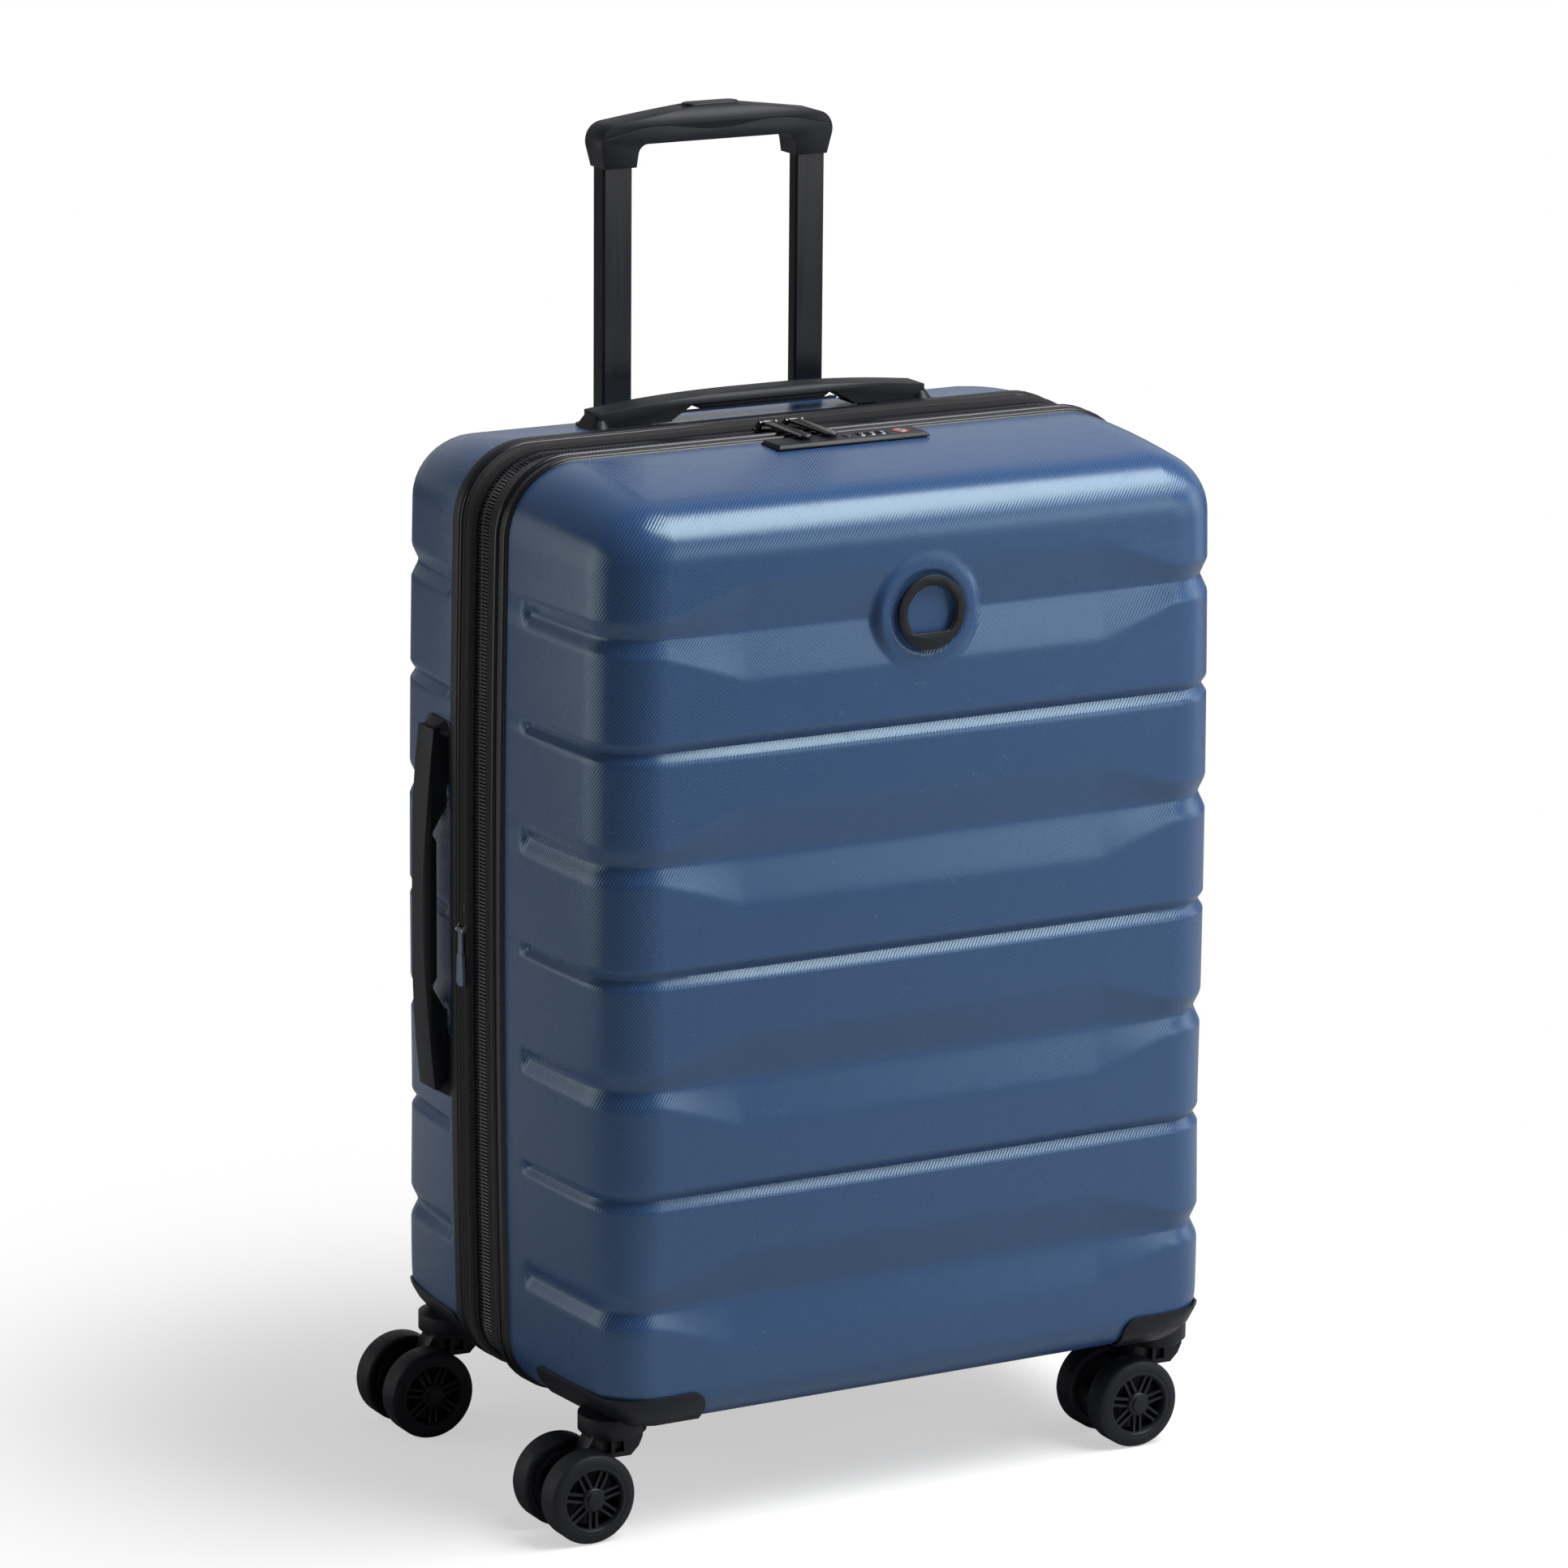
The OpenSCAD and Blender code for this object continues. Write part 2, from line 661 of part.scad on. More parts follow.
// The grip is an arch: its front outline crossed with its side outline
grip_top = grip_low + grip_h;
grip_round = 13;      // rounding of the two ends
grip_shoulder = 16;   // height of the middle of that rounding
grip_crown_r = 120;   // radius of the curved top
grip_edge = 9;        // rounding along the top
grip_arch = 15;       // height of the hollow under the grip
collar_in = tube_gap / 2 - tube_w / 2 - 1.5;
grip_under = grip_low + grip_arch;
module grip_outline() {
    difference() {
        hull() {
            translate([-grip_w / 2 + 3.5, grip_low]) square([grip_w - 7, 1]);
            for (hand = [-1, 1])
                translate([hand * (grip_w / 2 - grip_round), grip_low + grip_shoulder]) circle(grip_round);
            translate([0, grip_top - grip_crown_r]) intersection() {
                circle(grip_crown_r, $fn = 128);
                translate([-grip_w / 3, 0]) square([2 * grip_w / 3, grip_crown_r + overshoot]);
            }
        }
        hull() {
            translate([-collar_in, grip_low - 5]) square([2 * collar_in, 5]);
            for (hand = [-1, 1]) translate([hand * (collar_in - 8), grip_under - 7]) circle(7);
        }
    }
}
module grip_side() {
    hull() {
        translate([-grip_d / 2 + 2, grip_low]) square([grip_d - 4, 1]);
        for (s = [-1, 1])
            translate([s * (grip_d / 2 - grip_edge), grip_top - grip_edge]) circle(grip_edge);
    }
}
module grip_solid() {
    intersection() {
        translate([0, tube_y + grip_d, 0])
            rotate([90, 0, 0]) linear_extrude(2 * grip_d) grip_outline();
        translate([-grip_w, tube_y, 0])
            rotate([90, 0, 90]) linear_extrude(2 * grip_w) grip_side();
    }
}
// Wavy line between the cover and the base of the grip
function seam_z(x) = grip_top - 13.5 - 2.5 * cos(360 * x / (grip_w * 0.55)) - 3 * pow(2 * x / grip_w, 2);
module cover_zone() {
    step = grip_w / 24;
    translate([0, tube_y + grip_d, 0])
        rotate([90, 0, 0])
            linear_extrude(2 * grip_d)
                polygon(concat([for (i = [-13:13]) [i * step, seam_z(i * step)]],
                               [[grip_w, grip_top + grip_h], [-grip_w, grip_top + grip_h]]));
}
button_l = 40;
button_w = 13;
button_h = 11.5;      // how far the button reaches down into the grip
button_travel = 4;
button_floor = grip_top - button_h - button_travel - 0.5;
module button_form(grow, height) {
    hull()
        for (hand = [-1, 1])
            translate([hand * (button_l - button_w) / 2, tube_y, 0])
                cylinder(h = height, d = button_w + 2 * grow, $fn = 32);
}
module grip_base() {
    color(dark_plastic)
        difference() {
            grip_solid();
            cover_zone();
            tube_pair(grip_low - 1, inner_top, 0, 0);
            translate([0, 0, button_floor]) button_form(1, grip_h);
        }
}
module grip_cover() {
    color(dark_plastic)
        difference() {
            intersection() {
                grip_solid();
                cover_zone();
            }
            tube_pair(grip_low - 1, inner_top, 0, 0);
            translate([0, 0, grip_low]) button_form(move_gap, 2 * grip_h);
        }
}
module release_button() {
    color(dark_plastic)
        translate([0, 0, grip_top - button_h]) button_form(0, button_h + 0.2);
}

// ---- Carry handles -----------------------------------------------------------------------
// Drawn along X with the feet on z = 0, then placed on the top and on the left side
paddle_l = 62;
handle_end = handle_l / 2 - 5;
insert_top = handle_h - 6;    // the soft insert under the arch
insert_low = insert_top - 4;
module on_top() {
    translate([0, foot_y, seat_top]) children();
}
module on_side() {
    translate([-seat_side, foot_y, mid_z]) rotate([0, -90, 0]) children();
}

post_l = 30;
post_w = 9;
module handle_feet() {
    for (hand = [-1, 1])
        scale([hand, 1, 1]) {
            difference() {
                union() {
                    hull()
                        for (x = [-1, 1], y = [-1, 1])
                            translate([foot_x + x * (foot_l / 2 - 5), y * (foot_w / 2 - 5), 0])
                                cylinder(h = 2, r = 5, $fn = 32);
                    hull()
                        for (y = [-1, 1]) {
                            translate([handle_l / 2 - 6, y * (handle_w / 2 - 2), 0])
                                cylinder(h = 2, r = 6, $fn = 32);
                            translate([handle_l / 2 - 7, y * (handle_w / 2 - 4), handle_h - 12])
                                sphere(r = 4, $fn = 24);
                        }
                }
                translate([handle_end - 30 + move_gap, -handle_w / 2 - move_gap, 1.9])
                    cube([30, handle_w + 2 * move_gap, handle_h]);
            }
            translate([foot_x - post_l / 2 - 2, -post_w / 2, 0]) cube([post_l, post_w, 9]);
        }
}

// Side view of the handle with its arch and the two paddles
module handle_view() {
    half = handle_end;
    difference() {
        intersection() {
            translate([-half, 2]) square([2 * half, handle_h]);
            translate([0, handle_h - 1050]) circle(1050, $fn = 256);
        }
        polygon([[-half + paddle_l, -1], [-half + paddle_l - 10, 2.5], [-half + paddle_l + 6, insert_top],
                 [half - paddle_l - 6, insert_top], [half - paddle_l + 10, 2.5], [half - paddle_l, -1]]);
    }
}
module handle_section(w, top) {
    hull() {
        translate([-w / 2, 0]) square([w, 2]);
        for (s = [-1, 1]) translate([s * (w / 2 - 4.5), top - 4.5]) circle(4.5, $fn = 32);
    }
}
module handle_cover() {
    difference() {
        intersection() {
            translate([0, handle_w, 0]) rotate([90, 0, 0]) linear_extrude(2 * handle_w) handle_view();
            translate([-handle_l, 0, 0])
                rotate([90, 0, 90]) linear_extrude(2 * handle_l) handle_section(handle_w, handle_h);
        }
        for (hand = [-1, 1])
            scale([hand, 1, 1])
                translate([foot_x - post_l / 2 - 2.5, -post_w / 2 - 0.5, -1])
                    cube([post_l + 1, post_w + 1, 10.5]);
    }
}
module handle_insert() {
    half = handle_end - paddle_l - 6.3;
    translate([0, handle_w / 2 - 1.5, 0])
        rotate([90, 0, 0])
            linear_extrude(handle_w - 3)
                polygon([[-half + 6, insert_low], [half - 6, insert_low], [half, insert_top], [-half, insert_top]]);
}

module top_handle_feet() { color(dark_plastic) on_top() handle_feet(); }
module top_handle() { color(dark_plastic) on_top() handle_cover(); }
module top_handle_grip() { color(fabric_black) on_top() handle_insert(); }
module side_handle_feet() { color(dark_plastic) on_side() handle_feet(); }
module side_handle() { color(dark_plastic) on_side() handle_cover(); }
module side_handle_grip() { color(fabric_black) on_side() handle_insert(); }

// ---- Front half -----------------------------------------------------------------------------
badge_z = groove_z[6];
panel_y = front_rim_y - front_depth - panel_crown;
badge_seat = 13;      // how much wider than the badge its round boss is
lock_y = front_edge_y - 4.5 - lock_w / 2;
lock_seat = body_top - 0.6;
lock_t = 3;
lock_top = lock_seat + lock_t;
lock_x = 5;
body_in = 14;         // how far the body under the plate ends inside its length
body_l = lock_l - 2 * body_in;
body_x = lock_x + 9;
pocket_w = lock_w - 8;

module front_shell() {
    color(shell_blue)
        difference() {
            union() {
                translate([0, front_rim_y, 0])
                    mirror([0, 1, 0])
                        shell_tray(shell_rows, columns_for(front_depth, front_groove_gap, front_middle_q),
                                   0, sheet_t, front_depth, -1);
                translate([0, panel_y + wide_face_d + panel_crown + 1, badge_z])
                    rotate([90, 0, 0])
                        cylinder(h = wide_face_d + panel_crown + 1.6, r1 = badge_r + badge_seat + 2, r2 = badge_r + badge_seat - 3);
            }
            corner_cuts(-1);
            translate([lock_x, lock_y, lock_seat + 5]) cube([lock_l, lock_w, 10], center = true);
            translate([body_x, lock_y, lock_seat]) cube([body_l, pocket_w, 30], center = true);
        }
}

module front_binding() {
    color(tube_black) edge_channel(front_edge_y + binding_w, front_edge_y, -1);
}

module front_tape() {
    color(fabric_black)
        ring(front_edge_y + binding_w, split_y - coil_w, tape_in, tape_in + tape_t);
}

module front_coil() {
    color(tube_black) {
        difference() {
            ring(split_y - coil_w, split_y - coil_gap, coil_in, coil_in + coil_t);
            hinge_zone();
        }
        intersection() {
            ring(split_y - coil_w, split_y - coil_gap, tape_in, tape_in + tape_t);
            hinge_zone(-move_gap);
        }
    }
}

module front_lining() {
    color(lining_grey)
        difference() {
            translate([0, front_edge_y + binding_w, 0])
                mirror([0, 1, 0])
                    shell_tray(plain_rows, plain_columns, lining_in, lining_t,
                               front_depth + binding_w - shell_grip, 0);
            translate([body_x, lock_y, body_top])
                cube([body_l + 4, pocket_w + 4, 60], center = true);
            guard_room(-1);
        }
}

// Ring with a flat segment across its lower part
badge_t = 2.5;
module badge_ring() {
    inner = badge_r * 0.71;
    color(tube_black)
        translate([0, panel_y - 0.6, badge_z])
            rotate([90, 0, 0])
                difference() {
                    cylinder(h = badge_t, r = badge_r);
                    difference() {
                        translate([0, 0, -1]) cylinder(h = badge_t + 2, r = inner);
                        translate([-badge_r, -badge_r * 1.54, -2]) cube([2 * badge_r, badge_r, badge_t + 4]);
                    }
                    translate([0, 0, badge_t - 0.8])
                        difference() {
                            cylinder(h = 2, r = inner + 1.4);
                            translate([0, 0, -1]) cylinder(h = 4, r = inner - 0.1);
                            translate([-badge_r, -badge_r * 2, -1]) cube([2 * badge_r, badge_r * 1.46, 4]);
                        }
                }
}

// Lock: positions along the plate, measured from its middle
dial_x = [lock_x + 11, lock_x + 18.5, lock_x + 26];
dial_w = 5.4;
dial_r = 6.5;
dial_z = lock_top + 0.7 - dial_r;
lock_button_x = lock_x + 1;
lock_button_r = 3.5;
lock_button_h = 2.5;  // how far the button reaches below its plate
lock_button_travel = 2;
key_x = lock_x + lock_l / 2 - 15;
key_r = 4.5;
slider_x = [lock_x - lock_l / 2 + 26, lock_x - lock_l / 2 + 45];
slot_pitch = 5;       // between the two slots for a pull tab
shaft_r = 1.5;

module lock_plate() {
    color(dark_plastic)
        difference() {
            hull() {
                translate([lock_x, lock_y, lock_seat + 0.5]) cube([lock_l, lock_w, 1], center = true);
                translate([lock_x, lock_y, lock_top - 0.5]) cube([lock_l - 3, lock_w - 3, 1], center = true);
            }
            for (x = dial_x)
                translate([x, lock_y, lock_seat]) cube([dial_w + 2 * move_gap, 2 * dial_r - 1, 20], center = true);
            translate([lock_button_x, lock_y, lock_seat - 1]) cylinder(h = 10, r = lock_button_r + move_gap);
            translate([key_x, lock_y, lock_seat - 1]) cylinder(h = 10, r = key_r + run_gap);
            for (x = slider_x, s = [-1, 1])
                translate([x + s * slot_pitch / 2, lock_y + 2, lock_seat]) cube([1.8, 4, 20], center = true);
        }
}

module lock_body() {
    deep = 15;
    color(dark_plastic) {
        difference() {
            translate([body_x, lock_y, lock_seat - deep / 2])
                cube([body_l - 1, pocket_w - 1, deep], center = true);
            for (x = dial_x)
                translate([x, lock_y, dial_z])
                    rotate([0, 90, 0]) cylinder(h = dial_w + 2 * move_gap, r = dial_r + 0.6, center = true);
            translate([lock_button_x, lock_y, lock_seat - lock_button_h - lock_button_travel - 0.5])
                cylinder(h = 10, r = lock_button_r + move_gap);
            translate([key_x, lock_y, lock_seat - 9]) cylinder(h = 20, r = key_r + run_gap);
        }
        translate([dial_x[0] - dial_w, lock_y, dial_z])
            rotate([0, 90, 0]) cylinder(h = dial_x[2] - dial_x[0] + 2 * dial_w, r = shaft_r);
    }
}

module dial(i) {
    color("gainsboro")
        translate([dial_x[i], lock_y, dial_z])
            rotate([0, 90, 0])
                difference() {
                    cylinder(h = dial_w, r = dial_r, center = true);
                    cylinder(h = dial_w + 2, r = shaft_r + run_gap, center = true);
                    for (a = [0:36:324])
                        rotate([0, 0, a + 18])
                            translate([dial_r, 0, 0]) cube([0.8, 0.8, dial_w - 1.6], center = true);
                }
}

module lock_button() {
    color(dark_plastic)
        translate([lock_button_x, lock_y, lock_seat - lock_button_h])
            cylinder(h = lock_t + lock_button_h + 0.5, r = lock_button_r);
}

module key_cylinder() {
    color("firebrick")
        translate([key_x, lock_y, lock_seat - 9])
            difference() {
                cylinder(h = lock_t + 9.4, r = key_r);
                translate([0, 0, lock_t + 9]) cube([1.2, 5, 6], center = true);
            }
}

// ---- Zip sliders and their tabs -----------------------------------------------------------
// A slider straddles both rows of teeth; its thin post runs in the gap between them
slider_l = 18;
slider_w = 13;
plate_t = 1.6;
function top_line(inset) = row_z(high_rows[turns], 0, inset);
slider_low = top_line(coil_in + coil_t) - move_gap;
slider_top = top_line(coil_in) + move_gap;
tab_pin_z = slider_top + plate_t + 3.7;
tab_pin_y = split_y - slider_w / 2 + 1.5;
tab_w = 9;
tab_t = 1.8;
module slider(x) {
    color(steel)
        translate([x, split_y, 0]) {
            for (z = [slider_low - plate_t, slider_top])
                hull()
                    for (s = [-1, 1])
                        translate([s * (slider_l / 2 - 6), 0, z])
                            cylinder(h = plate_t, d = slider_w - 2 + s, $fn = 32);
            translate([-4, -coil_gap + move_gap, slider_low - 0.1])
                cube([8, 2 * (coil_gap - move_gap), slider_top - slider_low + 0.2]);
            for (s = [-1, 1])
                translate([s * (tab_w / 2 + 0.8 + move_gap), tab_pin_y - split_y, tab_pin_z])
                    difference() {
                        hull() {
                            rotate([0, 90, 0]) cylinder(h = 1.6, r = 1.8, center = true, $fn = 32);
                            translate([0, 2.5, slider_top + plate_t - tab_pin_z + 0.2])
                                cube([1.6, 6, 1], center = true);
                        }
                        rotate([0, 90, 0]) cylinder(h = 4, r = 0.9, center = true);
                    }
            translate([0, tab_pin_y - split_y, tab_pin_z])
                rotate([0, 90, 0]) cylinder(h = tab_w + 2 * move_gap + 3.2, r = 0.9, center = true);
        }
}

// Pull tab: an eye on the pin and a flat blade that ends over the slots of the lock
tab_l = split_y - slider_w / 2 + 1.5 - lock_y;
module pull_tab(x) {
    color(steel)
        translate([x, tab_pin_y, tab_pin_z])
            difference() {
                union() {
                    rotate([0, 90, 0]) cylinder(h = tab_w, r = 1.9, center = true);
                    translate([-tab_w / 2, -tab_l + 2, -tab_t / 2]) cube([tab_w, tab_l - 2, tab_t]);
                    translate([0, -tab_l + 2, -tab_t / 2]) cylinder(h = tab_t, d = tab_w);
                }
                rotate([0, 90, 0]) cylinder(h = tab_w + 2, r = 0.9 + run_gap, center = true);
            }
}

// Slider of the closed expansion zip, on the left side of the gusset
exp_l = 20;
exp_w = 11;
exp_z = mid_z;
exp_x = -(body_w / 2 + side_bow - coil_in - 0.4) - move_gap;
exp_pin_x = exp_x - plate_t - 2.2;
module expansion_slider() {
    color("lightsteelblue")
        translate([0, expansion_y, exp_z]) {
            translate([exp_x - plate_t, -exp_w / 2, -exp_l / 2]) cube([plate_t, exp_w, exp_l]);
            translate([exp_pin_x, 0, -exp_l / 2 + 3]) {
                for (s = [-1, 1])
                    translate([0, s * 3.9, 0])
                        difference() {
                            hull() {
                                rotate([90, 0, 0]) cylinder(h = 1.4, r = 1.8, center = true, $fn = 32);
                                translate([1.9, 0, 1.5]) cube([1, 1.4, 5], center = true);
                            }
                            rotate([90, 0, 0]) cylinder(h = 4, r = 0.8, center = true);
                        }
                rotate([90, 0, 0]) cylinder(h = 9.2, r = 0.8, center = true);
            }
        }
}
exp_tab_l = 38;
module expansion_tab() {
    color("slategray")
        translate([exp_pin_x, expansion_y, exp_z - exp_l / 2 + 3])
            difference() {
                union() {
                    rotate([90, 0, 0]) cylinder(h = 5.6, r = 1.7, center = true);
                    translate([-0.8, -2.8, -exp_tab_l + 9]) cube([1.6, 5.6, exp_tab_l - 9]);
                    hull()
                        for (z = [-exp_tab_l + 4, -exp_tab_l + 20], s = [-1, 1])
                            translate([0, s * (z < -20 ? 1.5 : 0.6), z])
                                rotate([0, 90, 0]) cylinder(h = 2.4, r = 3.2, center = true, $fn = 32);
                }
                rotate([90, 0, 0]) cylinder(h = 8, r = 0.8 + run_gap, center = true);
            }
}

// ---- Casters ---------------------------------------------------------------------------------
axle_x = -caster_trail;
fork_w = wheel_gap - 2 * 1.2;
module at_caster(hand, dir) {
    translate([hand * caster_x, dir * caster_y, 0]) children();
}

// Side view of the fork: from the swivel disc down to the axle, with a curved fin behind
fork_top = boss_bottom - move_gap;
module fork_view() {
    difference() {
        union() {
            hull() {
                translate([axle_x, wheel_r]) circle(axle_d / 2 + 4.5);
                translate([-16, fork_top - 3]) square([14, 3]);
            }
            polygon([[-14, fork_top], [18.4, fork_top], [18, fork_top - 6], [15.2, fork_top - 12],
                     [9.5, fork_top - 17.5], [-14, fork_top - 17]]);
        }
        translate([axle_x, wheel_r]) circle(axle_d / 2);
    }
}
module fork(hand, dir) {
    color(dark_plastic)
        at_caster(hand, dir) {
            difference() {
                union() {
                    translate([0, fork_w / 2, 0]) rotate([90, 0, 0]) linear_extrude(fork_w) fork_view();
                    translate([0, 0, fork_top - 3]) cylinder(h = 3, d = boss_d - 7);
                }
                for (s = [-1, 1])
                    translate([0, s * (fork_w / 2 - 1.5), 0])
                        rotate([90, 0, 0])
                            linear_extrude(6, center = true)
                                for (x = [-11, -2])
                                    translate([x, fork_top - 14]) square([6.5, 10]);
                translate([axle_x, 0, wheel_r])
                    rotate([90, 0, 0]) cylinder(h = fork_w + 2, d = axle_d, center = true);
            }
            translate([0, 0, fork_top - 1]) cylinder(h = pin_top - fork_top + 1, d = pin_d);
        }
}

cap_y = wheel_gap / 2 + wheel_w;
module axle(hand, dir) {
    color(steel)
        at_caster(hand, dir)
            translate([axle_x, 0, wheel_r])
                rotate([90, 0, 0]) cylinder(h = 2 * cap_y - 8, d = axle_d, center = true);
}

spokes = 7;
hub_r = 22.5 / 29.5 * wheel_r;
tyre_in = hub_r;
module hub() {
    bore = axle_d / 2 + run_gap;
    rim_in = hub_r - 3.4;
    boss_r = 7.8;
    rotate_extrude()
        polygon([[bore, 0.6], [boss_r, 0.6], [boss_r, 5], [rim_in, 5], [rim_in, 1], [hub_r, 1],
                 [hub_r, wheel_w - 1], [hub_r - 2.2, wheel_w - 1], [rim_in, wheel_w - 3],
                 [rim_in, 8], [boss_r, 8], [boss_r, wheel_w - 2.4], [boss_r - 1, wheel_w - 1.4],
                 [5.6, wheel_w - 1.4], [5, wheel_w], [0, wheel_w], [0, wheel_w - 2.6], [bore, wheel_w - 2.6]]);
    for (i = [0:spokes - 1])
        rotate([0, 0, (i + 0.25) * 360 / spokes])
            for (s = [-1, 1])
                translate([6, s * 2.3 - 0.9, wheel_w - 6.6]) cube([rim_in - 4.5, 1.8, 3.2]);
}
module tyre() {
    rotate_extrude()
        polygon([[tyre_in, 2], [wheel_r - 2, 1.2], [wheel_r - 0.6, 2.2], [wheel_r, 4], [wheel_r, wheel_w - 4.5],
                 [wheel_r - 0.6, wheel_w - 2.8], [wheel_r - 2, wheel_w - 1.8], [tyre_in, wheel_w - 0.8]]);
}
// Places a wheel part on both ends of an axle
module wheel_pair(hand, dir) {
    at_caster(hand, dir)
        for (side = [-1, 1])
            translate([axle_x, side * wheel_gap / 2, wheel_r])
                rotate([-90 * side, 0, 0]) children();
}
module wheels(hand, dir) { color(dark_plastic) wheel_pair(hand, dir) hub(); }
module tyres(hand, dir) { color(tube_black) wheel_pair(hand, dir) tyre(); }

back_shell();
back_edge();
gusset();
expansion_coil();
back_coil();
hinge_tape();
back_lining();
packing_straps();
strap_buckle();
corner_guards(1);  // rear_corner_guards
trolley_cup();
outer_tubes();
tube_bracket();
middle_tubes();
inner_tubes();
grip_base();
grip_cover();
release_button();
top_handle_feet();
top_handle();
top_handle_grip();
side_handle_feet();
side_handle();
side_handle_grip();
expansion_slider();
expansion_tab();
front_shell();
front_binding();
front_tape();
front_coil();
front_lining();
corner_guards(-1);  // front_corner_guards
badge_ring();
lock_plate();
lock_body();
dial(0);  // dial_1
dial(1);  // dial_2
dial(2);  // dial_3
lock_button();
key_cylinder();
slider(slider_x[0]);  // left_slider
pull_tab(slider_x[0]);  // left_tab
slider(slider_x[1]);  // right_slider
pull_tab(slider_x[1]);  // right_tab
fork(-1, -1);  // front_left_fork
axle(-1, -1);  // front_left_axle
wheels(-1, -1);  // front_left_wheels
tyres(-1, -1);  // front_left_tyres
fork(1, -1);  // front_right_fork
axle(1, -1);  // front_right_axle
wheels(1, -1);  // front_right_wheels
tyres(1, -1);  // front_right_tyres
fork(-1, 1);  // rear_left_fork
axle(-1, 1);  // rear_left_axle
wheels(-1, 1);  // rear_left_wheels
tyres(-1, 1);  // rear_left_tyres
fork(1, 1);  // rear_right_fork
axle(1, 1);  // rear_right_axle
wheels(1, 1);  // rear_right_wheels
tyres(1, 1);  // rear_right_tyres
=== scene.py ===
"""Looks of a hard shell spinner suitcase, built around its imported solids."""

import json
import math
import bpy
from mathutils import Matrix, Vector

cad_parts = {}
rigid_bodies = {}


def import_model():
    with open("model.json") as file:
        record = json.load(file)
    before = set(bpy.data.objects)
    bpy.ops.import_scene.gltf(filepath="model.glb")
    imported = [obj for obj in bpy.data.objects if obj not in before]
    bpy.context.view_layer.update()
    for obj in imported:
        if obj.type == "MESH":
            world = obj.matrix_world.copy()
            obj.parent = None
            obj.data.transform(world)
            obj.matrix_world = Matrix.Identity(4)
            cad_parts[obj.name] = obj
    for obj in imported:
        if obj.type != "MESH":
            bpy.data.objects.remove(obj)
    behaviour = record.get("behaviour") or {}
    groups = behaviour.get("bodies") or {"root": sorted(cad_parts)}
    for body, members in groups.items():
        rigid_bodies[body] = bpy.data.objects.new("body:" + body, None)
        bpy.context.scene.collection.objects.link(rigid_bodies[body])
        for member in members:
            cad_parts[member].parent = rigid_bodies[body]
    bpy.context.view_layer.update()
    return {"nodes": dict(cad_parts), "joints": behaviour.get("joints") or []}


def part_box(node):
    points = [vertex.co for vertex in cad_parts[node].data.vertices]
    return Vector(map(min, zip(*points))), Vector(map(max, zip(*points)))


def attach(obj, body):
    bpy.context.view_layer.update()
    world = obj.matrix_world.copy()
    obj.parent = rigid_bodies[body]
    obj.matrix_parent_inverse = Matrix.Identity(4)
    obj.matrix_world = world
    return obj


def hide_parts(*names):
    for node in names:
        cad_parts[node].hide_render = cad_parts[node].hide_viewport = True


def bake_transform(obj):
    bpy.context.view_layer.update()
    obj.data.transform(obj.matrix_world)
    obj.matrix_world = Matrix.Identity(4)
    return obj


bl_info = {
    "name": "Hard Shell Suitcase",
    "version": (1, 0, 0),
    "blender": (4, 5, 0),
    "location": "3D View > Sidebar > Suitcase",
    "description": "Dresses the solids of a hard shell spinner suitcase",
    "category": "Add Mesh",
}

import bpy
import numpy as np
from bpy.props import FloatProperty, FloatVectorProperty, PointerProperty
from mathutils import Vector

for leftover in list(bpy.data.objects):
    bpy.data.objects.remove(leftover)
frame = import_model()
NODES = frame["nodes"]


# ---- Places taken from the solids ------------------------------------------------

def low(node):
    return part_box(node)[0]


def high(node):
    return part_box(node)[1]


def middle(node):
    return (low(node) + high(node)) / 2


def span(node):
    return high(node) - low(node)


BODY_LOW = low("front_shell").z
BAND_OUT = 0.0018  # how far the bands stand out from the shells
BODY_TOP = high("back_edge").z - BAND_OUT
MID_Z = (BODY_LOW + BODY_TOP) / 2
BODY_H = BODY_TOP - BODY_LOW
SIDE_BOW = 0.0045
BODY_HALF = high("front_shell").x - SIDE_BOW
BACKDROP_WAY = (0.485, 0.875, 0.0)  # from the object towards what is behind it in the picture
WALL_DEPTH = {-1: 0.1375, 1: 0.1055}  # from the rim to the panel, front and back
GROOVE_GAP = {-1: 0.0255, 1: 0.011}  # from the rim to the start of the grooves
GROOVE_IN = 0.0885  # from the ends of the body to the outer grooves
FACET_START = 0.002  # where a wide facet begins on the panel
FACET_RUN = 0.053  # length over which it opens
PLAIN_HALF = 0.105  # half width of the plain middle of the back panel
GROOVE_DEPTHS = {True: (0.005, 0.0062), False: (0.0038, 0.0046)}  # wide or thin: on the wall, on the panel
LINING_IN = 0.0095  # from a shell's outer face to its lining


# ---- Sizes and colours that a user may change --------------------------------------

def length(label, text, default):
    return FloatProperty(name=label, description=text, default=default, unit="LENGTH")


def level(label, text, default):
    return FloatProperty(name=label, description=text, default=default, min=0)


def tint(label, text, default):
    return FloatVectorProperty(name=label, description=text, subtype="COLOR", default=default)


